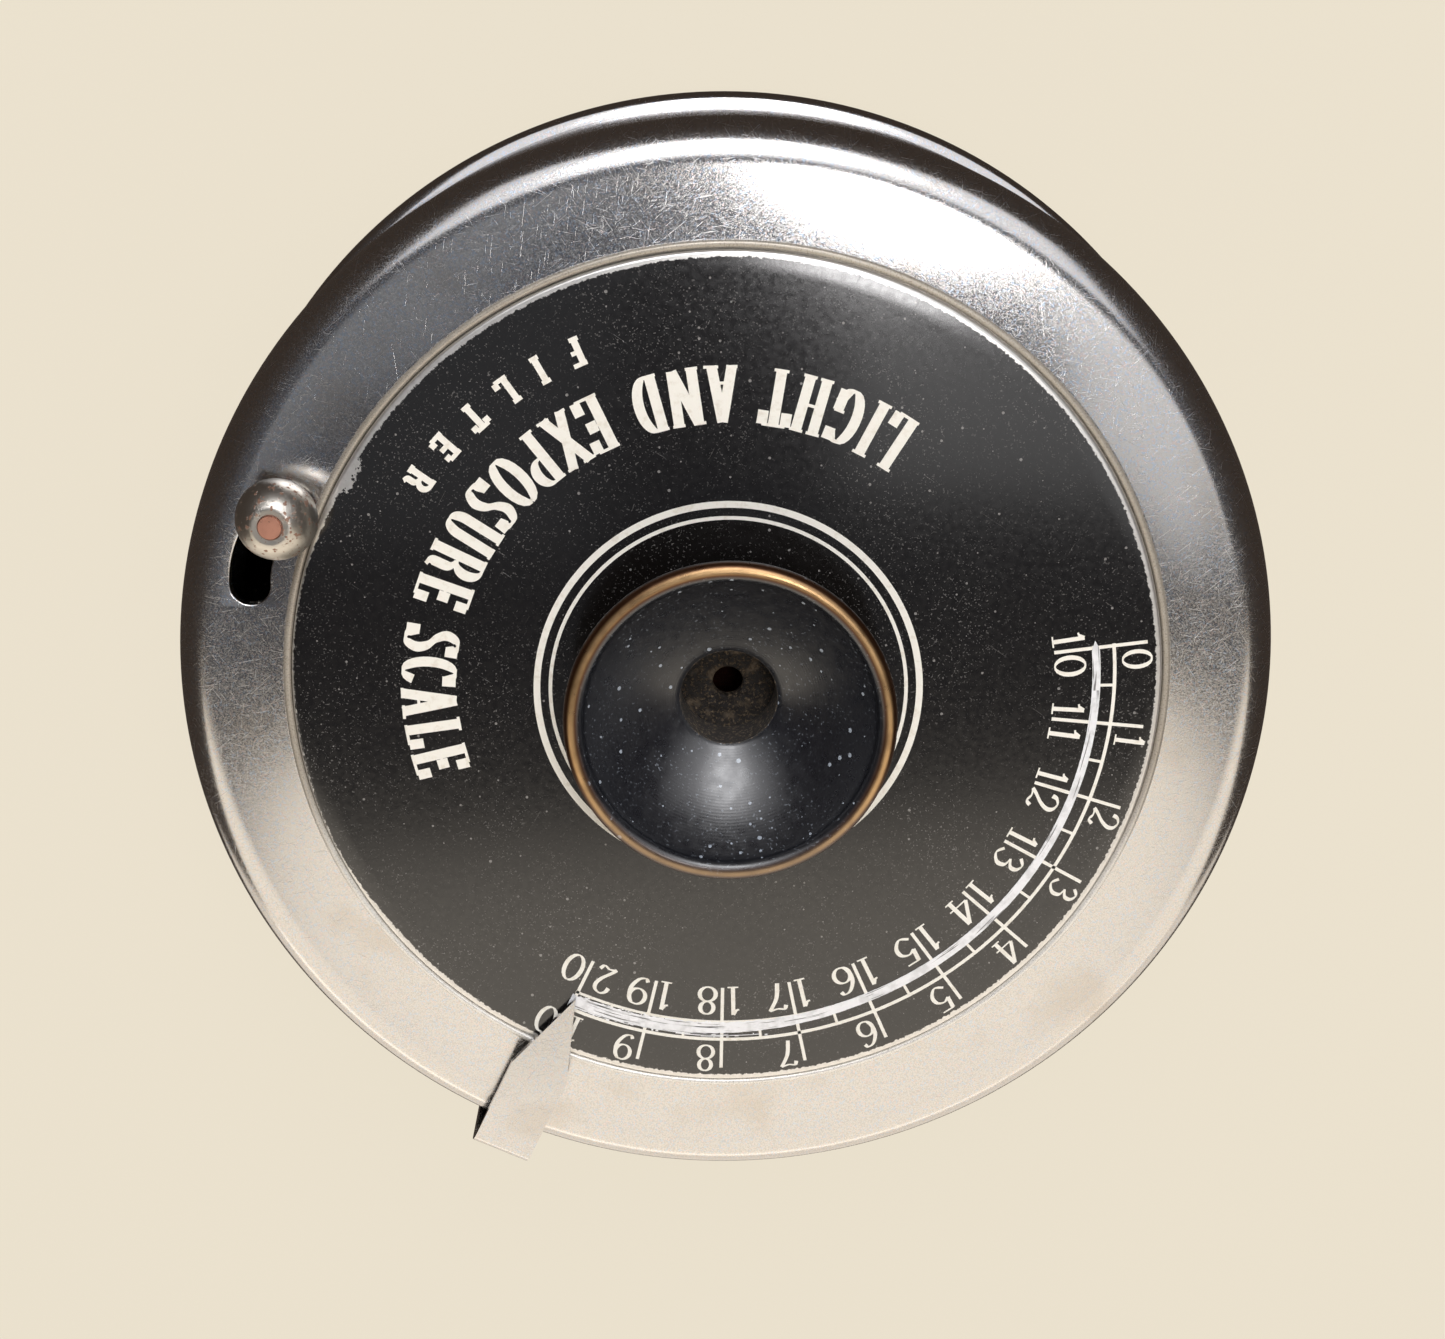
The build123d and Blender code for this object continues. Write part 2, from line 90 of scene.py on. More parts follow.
@dataclass(frozen=True)
class Extent:
    """Box of a CAD node at rest, in millimetres."""

    low: Vector
    high: Vector

    @classmethod
    def of(cls, node: str) -> "Extent":
        """Read a node's box.

        Args:
            node: name of the CAD node.

        Returns:
            The node's extent in millimetres.
        """
        low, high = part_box(node)
        return cls(Vector(low) / MM, Vector(high) / MM)

    @property
    def centre(self) -> Vector:
        """Middle of the box."""
        return (self.low + self.high) / 2

    @property
    def radius(self) -> float:
        """Half of the box's width along X."""
        return (self.high.x - self.low.x) / 2


DIAL = Extent.of("dial_plate")
COVER = Extent.of("front_cover")
RIM = Extent.of("rear_ring")
CUP = Extent.of("eyepiece_cup")
KNOB = Extent.of("ball_knob")
BACK = Extent.of("back_plate")
DISC = Extent.of("calculator_disc")
DIAL_FACE = DIAL.high.z
BEZEL_FACE = COVER.high.z
CUP_BEAD = 0.65
CUP_WELL = 3.3
CRISP = 32.0
SOFT_CRISP = 9.0
WELD = 2e-3
FLAT_ANGLE = 1.5
EDGE_ANGLE = 40.0


# ---------------------------------------------------------------- shader work


class Shader:
    """Node graph of one procedural finish."""

    def __init__(self, name: str, base: Colour, metallic: float, roughness: float) -> None:
        """Start a finish on a Principled shader.

        Args:
            name: material name.
            base: linear base colour.
            metallic: 0 for paint, 1 for bare metal.
            roughness: roughness where nothing is linked to it.
        """
        self.material = bpy.data.materials.new(name)
        self.material.use_nodes = True
        self.tree = self.material.node_tree
        self.bsdf = self.tree.nodes["Principled BSDF"]
        self.bsdf.inputs["Base Color"].default_value = (*base, 1.0)
        self.bsdf.inputs["Metallic"].default_value = metallic
        self.bsdf.inputs["Roughness"].default_value = roughness
        self.place = self.tree.nodes.new("ShaderNodeTexCoord").outputs["Object"]
        self._polar: tuple | None = None
        self._normal = None

    def set(self, **values: float) -> None:
        """Set constant sockets of the shader, spaces written as underscores."""
        for key, value in values.items():
            self.bsdf.inputs[key.replace("_", " ")].default_value = value

    def fill(self, socket, value) -> None:
        """Link a socket to another, or give it a constant."""
        if isinstance(value, bpy.types.NodeSocket):
            self.tree.links.new(value, socket)
        elif isinstance(value, tuple) and len(value) == 3 and socket.type == "RGBA":
            socket.default_value = (*value, 1.0)
        else:
            socket.default_value = value

    def math(self, operation: str, a, b=0.0, clamp: bool = False):
        """Math node.

        Args:
            operation: Blender's name of the operation.
            a: first value or socket.
            b: second value or socket.
            clamp: hold the result between 0 and 1.

        Returns:
            The value socket.
        """
        node = self.tree.nodes.new("ShaderNodeMath")
        node.operation = operation
        node.use_clamp = clamp
        self.fill(node.inputs[0], a)
        self.fill(node.inputs[1], b)
        return node.outputs[0]

    def times(self, a, b):
        """Product of two values or sockets."""
        return self.math("MULTIPLY", a, b)

    def plus(self, a, b, clamp: bool = False):
        """Sum of two values or sockets."""
        return self.math("ADD", a, b, clamp)

    def less(self, a, b):
        """First value less the second."""
        return self.math("SUBTRACT", a, b)

    def most(self, a, b):
        """Larger of two values or sockets."""
        return self.math("MAXIMUM", a, b)

    def span(self, value, low: float, high: float, out_low: float = 0.0, out_high: float = 1.0):
        """Smooth step of a value from one range to another.

        Args:
            value: socket to remap.
            low: input where the step starts.
            high: input where the step ends.
            out_low: result at the start.
            out_high: result at the end.

        Returns:
            The remapped socket.
        """
        node = self.tree.nodes.new("ShaderNodeMapRange")
        node.interpolation_type = "SMOOTHSTEP"
        for index, item in enumerate((value, low, high, out_low, out_high)):
            self.fill(node.inputs[index], item)
        return node.outputs[0]

    def mix(self, factor, a, b):
        """Colour mix of a and b by a factor.

        Args:
            factor: 0 gives a, 1 gives b.
            a: colour or socket.
            b: colour or socket.

        Returns:
            The colour socket.
        """
        node = self.tree.nodes.new("ShaderNodeMix")
        node.data_type = "RGBA"
        self.fill(node.inputs[0], factor)
        self.fill(node.inputs[6], a)
        self.fill(node.inputs[7], b)
        return node.outputs[2]

    def turned(self, bearing: float = 0.0, scale: tuple[float, float, float] = (1, 1, 1)):
        """Object coordinates turned about Z and stretched.

        Args:
            bearing: turn in degrees.
            scale: stretch along each axis.

        Returns:
            The vector socket.
        """
        node = self.tree.nodes.new("ShaderNodeMapping")
        node.inputs["Rotation"].default_value = (0, 0, math.radians(bearing))
        self.tree.links.new(self.place, node.inputs["Vector"])
        stretched = self.tree.nodes.new("ShaderNodeMapping")
        stretched.inputs["Scale"].default_value = scale
        self.tree.links.new(node.outputs[0], stretched.inputs["Vector"])
        return stretched.outputs[0]

    def vector(self, x, y):
        """Coordinates made of two sockets."""
        node = self.tree.nodes.new("ShaderNodeCombineXYZ")
        self.fill(node.inputs[0], x)
        self.fill(node.inputs[1], y)
        return node.outputs[0]

    def noise(self, scale: float, detail: float = 2.0, vector=None, rough: float = 0.5):
        """Noise texture.

        Args:
            scale: features per metre, or per unit of a stretched vector.
            detail: octaves.
            vector: coordinates, the object's own if left out.
            rough: roughness of the octaves.

        Returns:
            The factor socket.
        """
        node = self.tree.nodes.new("ShaderNodeTexNoise")
        node.inputs["Scale"].default_value = scale
        node.inputs["Detail"].default_value = detail
        node.inputs["Roughness"].default_value = rough
        self.tree.links.new(vector or self.place, node.inputs["Vector"])
        return node.outputs[0]

    def specks(self, scale: float, size: float, vector=None):
        """Sparse round dots.

        Args:
            scale: cells per metre.
            size: dot radius as a share of a cell.
            vector: coordinates, the object's own if left out.

        Returns:
            A mask, 1 inside a dot.
        """
        node = self.tree.nodes.new("ShaderNodeTexVoronoi")
        node.inputs["Scale"].default_value = scale
        self.tree.links.new(vector or self.place, node.inputs["Vector"])
        pick = self.tree.nodes.new("ShaderNodeSeparateColor")
        self.tree.links.new(node.outputs["Color"], pick.inputs[0])
        reach = self.times(self.math("POWER", pick.outputs[0], 3.0), size)
        return self.math("LESS_THAN", node.outputs["Distance"], reach)

    def polar(self):
        """Distance from the instrument's axis and bearing in degrees, as two sockets."""
        if self._polar is None:
            parts = self.tree.nodes.new("ShaderNodeSeparateXYZ")
            self.tree.links.new(self.place, parts.inputs[0])
            x, y = parts.outputs[0], parts.outputs[1]
            square = self.plus(self.times(x, x), self.times(y, y))
            bearing = self.times(self.math("ARCTAN2", y, x), 180 / math.pi)
            self._polar = self.math("SQRT", square), bearing, parts.outputs[2], y
        return self._polar[0], self._polar[1]

    def height(self):
        """Height above the rest plane, as a socket."""
        self.polar()
        return self._polar[2]

    def depth(self):
        """Distance towards the top of the dial, as a socket."""
        self.polar()
        return self._polar[3]

    def scratches(self, bearings: tuple[float, ...], length: float, width: float, rarity: float):
        """Straight hairlines in several directions.

        Args:
            bearings: directions in degrees.
            length: typical length in millimetres.
            width: typical width in millimetres.
            rarity: noise level above which a line shows, 0 to 1.

        Returns:
            A mask, 1 on a line.
        """
        total = None
        for bearing in bearings:
            along, across = 0.5 / (length * MM), 0.5 / (width * MM)
            lanes = self.turned(bearing, (along, across, along))
            lines = self.span(self.noise(1.0, 2.0, lanes), rarity, rarity + 0.07)
            total = lines if total is None else self.most(total, lines)
        return total

    def bump(self, height, depth: float, strength: float = 1.0) -> None:
        """Stack a bump on the finish.

        Args:
            height: 0 to 1 socket.
            depth: depth in millimetres.
            strength: share of the bump that is used.
        """
        node = self.tree.nodes.new("ShaderNodeBump")
        node.inputs["Distance"].default_value = depth * MM
        node.inputs["Strength"].default_value = strength
        self.fill(node.inputs["Height"], height)
        if self._normal is not None:
            self.tree.links.new(self._normal, node.inputs["Normal"])
        self._normal = node.outputs[0]
        self.tree.links.new(self._normal, self.bsdf.inputs["Normal"])

    def colour(self, value) -> None:
        """Link the base colour."""
        self.fill(self.bsdf.inputs["Base Color"], value)

    def link(self, name: str, value) -> None:
        """Link another socket of the shader."""
        self.fill(self.bsdf.inputs[name], value)


@dataclass(frozen=True)
class NickelPlate:
    """Polished nickel with the fine crossed hairlines of a pocket's wear."""

    name: str = "nickel"
    base: Colour = (0.66, 0.645, 0.62)
    polish: float = 0.2
    haze: float = 0.14
    wear: float = 1.0
    lip_inner: float = 0.0
    lip_outer: float = 0.0

    def make(self) -> bpy.types.Material:
        """Build the finish."""
        s = Shader(self.name, self.base, 1.0, self.polish)
        fine = s.scratches((12, 55, 98, 141, 170), 1.3, 0.02, 0.68)
        long = s.scratches((28, 83, 127), 5.0, 0.04, 0.74)
        grain = s.noise(9500, 2.0, rough=0.6)
        cloud = s.noise(140, 4.0)
        tints = s.mix(s.span(s.noise(6400, 1.0), 0.42, 0.58), (0.70, 0.62, 0.60), (0.56, 0.64, 0.74))
        hue = s.mix(s.span(s.noise(3100, 2.0), 0.45, 0.62, 0.15, 0.8), self.base, tints)
        dim = tuple(0.7 * channel for channel in self.base)
        hue = s.mix(s.span(grain, 0.38, 0.56, 1 - 0.5 * self.wear, 1.0), dim, hue)
        stained = s.mix(s.span(cloud, 0.54, 0.72, 0.0, 0.35), hue, (0.50, 0.44, 0.37))
        # painted highlight: the hairline scratches are painted paler and cooler than the nickel, standing
        # in for their glints
        scratch_glints = s.mix(s.times(fine, 0.4), stained, (0.86, 0.88, 0.92))
        radius, _ = s.polar()
        edge = s.plus(radius, s.times(s.noise(1500, 3.0), 0.16 * MM))
        lip = s.times(s.span(edge, self.lip_inner * MM, (self.lip_inner + 0.1) * MM),
                     s.span(edge, (self.lip_outer + 0.02) * MM, (self.lip_outer + 0.16) * MM, 1.0, 0.0))
        # lip band: tan grime with the lip's tan reflection painted into its colour, and the lip made only
        # partly metallic
        lip_grime_and_reflection = s.mix(s.noise(1900, 4.0, rough=0.7), (0.30, 0.25, 0.185), (0.50, 0.45, 0.37))
        bright = s.mix(s.noise(2600, 4.0, rough=0.7), (0.66, 0.62, 0.54), (0.98, 0.97, 0.94))
        # painted reflection: towards +Y, the lower side in view, the lip is painted paler and whiter
        lip_grime_and_reflection = s.mix(s.span(s.depth(), 4 * MM, 17 * MM), lip_grime_and_reflection, bright)
        s.colour(s.mix(s.times(lip, 0.85), scratch_glints, lip_grime_and_reflection))
        s.link("Metallic", s.span(lip, 0.0, 1.0, 1.0, 0.35))
        spread = s.span(grain, 0.3, 0.7, self.polish - self.haze / 2, self.polish + self.haze / 2)
        s.link("Roughness", s.plus(spread, s.times(s.most(fine, lip), 0.12)))
        s.bump(grain, 0.004, 0.6 * self.wear)
        s.bump(fine, 0.003, 0.5 * self.wear)
        s.bump(long, 0.005, 0.5 * self.wear)
        s.bump(s.noise(500, 2.0), 0.012, 0.1)
        return s.material


@dataclass(frozen=True)
class WornNickel:
    """Nickel worn thin over steel, freckled with brown rust."""

    name: str = "worn_nickel"
    base: Colour = (0.56, 0.53, 0.48)

    def make(self) -> bpy.types.Material:
        """Build the finish."""
        s = Shader(self.name, self.base, 1.0, 0.22)
        cloud = s.plus(s.noise(1100, 3.0), s.times(s.noise(4600, 3.0), 0.6))
        rust = s.span(cloud, 0.9, 1.0)
        worn = s.most(rust, s.specks(3600, 0.5))
        tint = s.mix(s.noise(3000, 2.0), (0.15, 0.05, 0.022), (0.30, 0.13, 0.065))
        s.colour(s.mix(s.times(worn, 0.8), self.base, tint))
        s.link("Roughness", s.span(worn, 0.0, 1.0, 0.36, 0.5))
        s.link("Metallic", s.span(worn, 0.0, 1.0, 1.0, 0.5))
        s.bump(s.scratches((20, 75, 130), 0.7, 0.05, 0.64), 0.006, 0.6)
        s.bump(worn, 0.01, 0.8)
        return s.material


@dataclass(frozen=True)
class DialEnamel:
    """Satin black enamel over bright metal, worn through at its edge and along the pointer's path."""

    name: str = "dial_enamel"
    paint: Colour = (0.0034, 0.0026, 0.0022)
    metal: Colour = (0.86, 0.85, 0.83)
    bare_from: float = 29.32
    chip_bearing: float = -31.0
    kept_bearing: float = 4.0

    def make(self) -> bpy.types.Material:
        """Build the finish."""
        s = Shader(self.name, self.paint, 0.0, 0.16)
        s.set(IOR=1.78)
        radius, bearing = s.polar()
        jag = s.times(s.less(s.noise(2600, 4.0, rough=0.7), 0.5), 0.5 * MM)
        off_kept = s.math("ABSOLUTE", s.less(bearing, self.kept_bearing))
        kept = s.span(off_kept, 16.0, 34.0, 0.3 * MM, 0.0)
        edge = s.less(s.plus(radius, jag), kept)
        bare = s.span(edge, self.bare_from * MM, (self.bare_from + 0.06) * MM)
        near = s.math("ABSOLUTE", s.less(bearing, self.chip_bearing))
        chip_zone = s.span(near, 1.0, 6.5, 0.75, 0.0)
        chip = s.times(chip_zone, s.span(radius, 27.9 * MM, 29.2 * MM))
        chip = s.math("GREATER_THAN", s.plus(chip, s.noise(2200, 4.0, rough=0.7)), 1.12)
        fleck = s.math("GREATER_THAN", s.noise(1500, 5.0, rough=0.75), 0.735)
        fleck = s.times(fleck, s.span(radius, 28.0 * MM, 29.3 * MM, 0.0, 1.0))
        bare = s.most(bare, s.most(chip, fleck))
        patchy = s.span(s.noise(130, 3.0), 0.35, 0.7, 0.25, 1.0)
        dust = s.span(s.noise(7800, 1.0), 0.645, 0.72, 0.0, 0.28)
        motes = s.times(s.specks(1500, 0.16), 0.45)
        hair = s.scratches((35, 118), 2.6, 0.035, 0.75)
        pale = s.most(s.times(dust, patchy), s.times(hair, 0.2))
        pale = s.most(pale, motes)
        mottle = s.mix(s.noise(420, 4.0), self.paint, (0.0055, 0.0045, 0.004))
        painted = s.mix(pale, mottle, (0.5, 0.48, 0.46))
        dull = s.mix(s.noise(3500, 2.0), (0.62, 0.60, 0.57), self.metal)
        s.colour(s.mix(bare, painted, dull))
        s.link("Metallic", s.times(bare, 0.8))
        s.link("Roughness", s.plus(s.span(s.noise(2400, 3.0), 0.3, 0.7, 0.13, 0.18),
                                   s.times(bare, 0.16)))
        s.bump(s.noise(5200, 3.0), 0.004, 0.3)
        s.bump(bare, 0.02, -0.6)
        s.bump(hair, 0.008, 0.5)
        return s.material


@dataclass(frozen=True)
class PrintInk:
    """Screen-like opaque printing, slightly uneven."""

    name: str = "cream_ink"
    tone: Colour = (0.93, 0.90, 0.82)
    faded: Colour = (0.80, 0.75, 0.65)

    def make(self) -> bpy.types.Material:
        """Build the finish."""
        s = Shader(self.name, self.tone, 0.0, 0.55)
        s.colour(s.mix(s.span(s.noise(1700, 4.0, rough=0.65), 0.5, 0.72), self.tone, self.faded))
        s.bump(s.noise(6000, 2.0), 0.006, 0.4)
        return s.material


@dataclass(frozen=True)
class BareTrack:
    """Bright metal rubbed bare by the pointer."""

    name: str = "rubbed_track"
    streak_width: float = 0.13
    groove_pitch: float = 0.11

    def make(self) -> bpy.types.Material:
        """Build the finish."""
        s = Shader(self.name, (0.93, 0.94, 0.97), 0.25, 0.4)
        radius, bearing = s.polar()
        grooves = s.math("SINE", s.times(radius, FULL_TURN / (self.groove_pitch * MM)))
        worn = s.span(s.noise(1500, 4.0), 0.42, 0.68)
        lanes = s.vector(s.times(radius, 1 / (self.streak_width * MM)), s.times(bearing, 0.12))
        streak = s.span(s.noise(1.0, 2.0, lanes), 0.6, 0.66)
        bright = s.mix(worn, (0.95, 0.96, 0.99), (0.76, 0.77, 0.79))
        s.colour(s.mix(s.times(streak, 0.8), bright, (0.03, 0.03, 0.03)))
        s.bump(grooves, 0.006, 0.5)
        s.bump(s.noise(5000, 3.0), 0.006, 0.5)
        return s.material


@dataclass(frozen=True)
class EyecupLacquer:
    """Glossy blue-black lacquer over turned brass, rubbed to the metal on the rolled rim."""

    rim_height: float
    rim_radius: float
    bead: float
    well: float
    name: str = "eyecup_lacquer"
    lacquer: Colour = (0.005, 0.0058, 0.0092)
    brass: Colour = (0.55, 0.35, 0.17)

    def make(self) -> bpy.types.Material:
        """Build the finish."""
        s = Shader(self.name, self.lacquer, 0.0, 0.3)
        s.set(IOR=1.9)
        radius, _ = s.polar()
        lift = s.less(s.height(), self.rim_height * MM)
        off = s.less(radius, self.rim_radius * MM)
        away = s.plus(s.times(lift, lift), s.times(off, off))
        reach = s.plus(s.math("SQRT", away), s.times(s.noise(900, 3.0), 0.16 * MM))
        worn = s.span(reach, (self.bead + 0.1) * MM, (self.bead + 0.26) * MM, 1.0, 0.0)
        worn = s.times(worn, s.span(off, -0.42 * MM, -0.12 * MM))
        worn = s.times(worn, s.span(lift, 0.0, 0.34 * MM))
        # painted shade: the rubbed brass fades to half towards +Y, the lower side of the rim in view
        worn = s.times(worn, s.span(s.depth(), 3 * MM, 9.5 * MM, 1.0, 0.5))
        crest = s.math("ABSOLUTE", s.less(off, 0.12 * MM))
        crest = s.span(crest, 0.04 * MM, 0.32 * MM, 1.0, 0.0)
        patchy = s.span(s.noise(190, 3.0), 0.35, 0.68, 0.2, 1.0)
        dust = s.times(s.span(s.noise(5200, 1.0), 0.64, 0.74, 0.0, 0.24), patchy)
        dust = s.most(dust, s.times(s.specks(1500, 0.24), 0.6))
        tone = s.mix(dust, self.lacquer, (0.62, 0.70, 0.80))
        dulled = s.times(crest, s.span(s.noise(520, 3.0), 0.2, 0.6, 0.55, 1.0))
        rubbed = s.mix(dulled, (0.085, 0.036, 0.016), self.brass)
        sooty = s.mix(s.span(s.noise(4200, 4.0, rough=0.7), 0.52, 0.66), (0.014, 0.011, 0.009),
                      (0.26, 0.19, 0.12))
        inside = s.math("LESS_THAN", radius, (self.well + 0.05) * MM)
        s.colour(s.mix(inside, s.mix(worn, tone, rubbed), sooty))
        s.link("Metallic", s.times(worn, 0.9))
        plain = s.span(s.noise(1300, 3.0), 0.3, 0.7, 0.27, 0.36)
        s.link("Roughness", s.plus(plain, s.times(inside, 0.4), True))
        wobble = s.plus(radius, s.times(s.noise(160, 2.0), 0.25 * MM))
        turning = s.math("SINE", s.times(wobble, FULL_TURN / (0.17 * MM)))
        s.bump(turning, 0.0012, 0.6)
        s.bump(s.noise(4200, 3.0), 0.004, 0.4)
        s.bump(s.times(inside, s.noise(3000, 4.0, rough=0.7)), 0.08, 0.8)
        return s.material


@dataclass(frozen=True)
class BrownedBrass:
    """Rough browned brass, pitted like soot."""

    name: str = "browned_brass"
    dark: Colour = (0.020, 0.016, 0.013)
    pale: Colour = (0.115, 0.082, 0.055)
    pit: float = 0.05

    def make(self) -> bpy.types.Material:
        """Build the finish."""
        s = Shader(self.name, self.dark, 0.25, 0.7)
        grain = s.span(s.noise(4200, 4.0, rough=0.7), 0.5, 0.68)
        patch = s.span(s.noise(900, 3.0), 0.5, 0.7, 0.0, 0.5)
        s.colour(s.mix(s.most(grain, patch), self.dark, self.pale))
        s.bump(grain, self.pit, 0.8)
        s.bump(s.noise(2200, 4.0), self.pit, 0.5)
        return s.material


@dataclass(frozen=True)
class MachinedMetal:
    """Turned or milled metal with fine concentric tool marks and a little tarnish."""

    name: str
    base: Colour
    tarnish: Colour
    roughness: float = 0.3
    pitch: float = 0.14
    metallic: float = 1.0

    def make(self) -> bpy.types.Material:
        """Build the finish."""
        s = Shader(self.name, self.base, self.metallic, self.roughness)
        radius, _ = s.polar()
        rings = s.math("SINE", s.times(radius, FULL_TURN / (self.pitch * MM)))
        cloud = s.span(s.noise(260, 5.0, rough=0.6), 0.45, 0.7)
        s.colour(s.mix(cloud, self.base, self.tarnish))
        spread = s.span(s.noise(1800, 3.0), 0.3, 0.7, self.roughness - 0.07, self.roughness + 0.1)
        s.link("Roughness", spread)
        s.bump(rings, 0.003, 0.35)
        s.bump(s.scratches((15, 70, 125), 1.8, 0.06, 0.68), 0.006, 0.5)
        return s.material


@dataclass(frozen=True)
class FilterGlass:
    """Flat coloured glass with a faint inner haze."""

    name: str
    tint: Colour
    haze: Colour

    def make(self) -> bpy.types.Material:
        """Build the finish."""
        s = Shader(self.name, self.tint, 0.0, 0.04)
        s.colour(s.mix(s.noise(600, 3.0), self.tint, self.haze))
        s.set(Transmission_Weight=0.85, IOR=1.52)
        s.bump(s.noise(350, 2.0), 0.01, 0.15)
        return s.material


@dataclass(frozen=True)
class FlatEnamel:
    """Stoved enamel with dust and rubbed spots."""

    name: str
    paint: Colour
    shade: Colour
    fleck: Colour

    def make(self) -> bpy.types.Material:
        """Build the finish."""
        s = Shader(self.name, self.paint, 0.0, 0.42)
        base = s.mix(s.span(s.noise(260, 5.0, rough=0.6), 0.35, 0.7), self.paint, self.shade)
        marks = s.most(s.specks(1500, 0.36), s.scratches((40, 110), 2.5, 0.05, 0.73))
        s.colour(s.mix(s.times(marks, 0.4), base, self.fleck))
        s.link("Roughness", s.span(s.noise(800, 3.0), 0.3, 0.7, 0.34, 0.5))
        s.bump(s.noise(4500, 3.0), 0.006, 0.3)
        return s.material


class Finishes:
    """Every finish of the instrument, made once."""

    def __init__(self) -> None:
        """Build all the materials."""
        brass = (0.62, 0.44, 0.19), (0.36, 0.22, 0.09)
        steel = (0.42, 0.42, 0.43), (0.22, 0.19, 0.17)
        self.nickel = NickelPlate().make()
        self.cover = NickelPlate("bezel_nickel", lip_inner=DIAL.radius, lip_outer=DIAL.radius + 0.6).make()
        self.bead = NickelPlate("rim_nickel", (0.62, 0.605, 0.585), 0.14, 0.08, 0.4).make()
        self.knob = WornNickel().make()
        self.dial = DialEnamel().make()
        self.ink = PrintInk().make()
        self.dark_ink = PrintInk("dark_ink", (0.012, 0.012, 0.013), (0.05, 0.045, 0.04)).make()
        self.track = BareTrack().make()
        self.cup = EyecupLacquer(CUP.high.z - CUP_BEAD, CUP.radius - CUP_BEAD, CUP_BEAD, CUP_WELL).make()
        self.browned = BrownedBrass().make()
        self.sooty = BrownedBrass("sooty_disc", (0.014, 0.011, 0.009), (0.26, 0.19, 0.12), 0.08).make()
        self.brass = MachinedMetal("turned_brass", *brass).make()
        self.steel = MachinedMetal("steel", *steel).make()
        # partly painted shade: the lever arm under the slot is blackened so that the slot reads as black
        # shade; such works were also blackened
        self.blued = MachinedMetal("blackened_steel_slot_shade", (0.03, 0.03, 0.032), (0.05, 0.04, 0.035), 0.5).make()
        self.copper = MachinedMetal("copper_rivet", (0.62, 0.30, 0.21), (0.34, 0.12, 0.07), 0.34, 0.3,
                                    0.6).make()
        self.blue_glass = FilterGlass("blue_glass", (0.15, 0.055, 0.04), (0.12, 0.045, 0.03)).make()
        self.smoked = FilterGlass("smoked_glass", (0.07, 0.07, 0.068), (0.04, 0.04, 0.038)).make()
        self.clear = FilterGlass("clear_glass", (0.9, 0.94, 0.92), (0.84, 0.9, 0.87)).make()
        self.black = FlatEnamel("black_enamel", (0.010, 0.0095, 0.009), (0.016, 0.015, 0.014),
                                (0.4, 0.38, 0.35)).make()
        self.ivory = FlatEnamel("ivory_enamel", (0.66, 0.61, 0.48), (0.56, 0.49, 0.35),
                                (0.16, 0.12, 0.08)).make()


# ---------------------------------------------------------------- mesh work


def polar(radius: float, bearing: float) -> Point:
    """Point at a radius and a bearing in degrees."""
    return radius * math.cos(math.radians(bearing)), radius * math.sin(math.radians(bearing))


def arc(centre: Point, radius: float, start: float, end: float, steps: int = 8) -> list[Point]:
    """Points of an arc in a profile.

    Args:
        centre: (radius, height) of the arc's centre.
        radius: its radius.
        start: first angle in degrees.
        end: last angle in degrees.
        steps: number of chords.

    Returns:
        The points, ends included.
    """
    turns = [math.radians(start + (end - start) * n / steps) for n in range(steps + 1)]
    return [(centre[0] + radius * math.cos(t), centre[1] + radius * math.sin(t)) for t in turns]


def shade(mesh: bpy.types.Mesh, sharp: float = CRISP) -> None:
    """Smooth shading, crisp across edges steeper than an angle in degrees."""
    mesh.polygons.foreach_set("use_smooth", [True] * len(mesh.polygons))
    mesh.set_sharp_from_angle(angle=math.radians(sharp))


def added(name: str, data) -> bpy.types.Object:
    """New object in the scene."""
    thing = bpy.data.objects.new(name, data)
    bpy.context.scene.collection.objects.link(thing)
    return thing


def finish_mesh(bm: bmesh.types.BMesh, name: str, material, sharp: float = CRISP) -> bpy.types.Object:
    """Turn a bmesh in millimetres into a shaded object in metres.

    Args:
        bm: the mesh, freed afterwards.
        name: object name.
        material: its finish.
        sharp: edges steeper than this many degrees stay crisp.

    Returns:
        The new object.
    """
    bmesh.ops.scale(bm, vec=(MM, MM, MM), verts=bm.verts)
    mesh = bpy.data.meshes.new(name)
    bm.to_mesh(mesh)
    bm.free()
    mesh.materials.append(material)
    shade(mesh, sharp)
    return added(name, mesh)


def spun(profile: list[Point], steps: int = 192, closed: bool = True,
         axis: Point = (0.0, 0.0)) -> bmesh.types.BMesh:
    """Body turned about a vertical axis.

    Args:
        profile: (radius, height) points in millimetres.
        steps: segments of the turn.
        closed: join the last point to the first.
        axis: place of the axis.

    Returns:
        The bmesh, faces outward.
    """
    bm = bmesh.new()
    verts = [bm.verts.new((r, 0, z)) for r, z in profile]
    pairs = list(zip(verts, verts[1:]))
    if closed:
        pairs.append((verts[-1], verts[0]))
    edges = [bm.edges.new(pair) for pair in pairs]
    bmesh.ops.spin(bm, geom=verts + edges, cent=(0, 0, 0), axis=(0, 0, 1), angle=FULL_TURN,
                   steps=steps, use_merge=True, use_duplicate=False)
    bmesh.ops.remove_doubles(bm, verts=bm.verts, dist=1e-4)
    bmesh.ops.recalc_face_normals(bm, faces=bm.faces)
    bmesh.ops.translate(bm, vec=(axis[0], axis[1], 0), verts=bm.verts)
    return bm


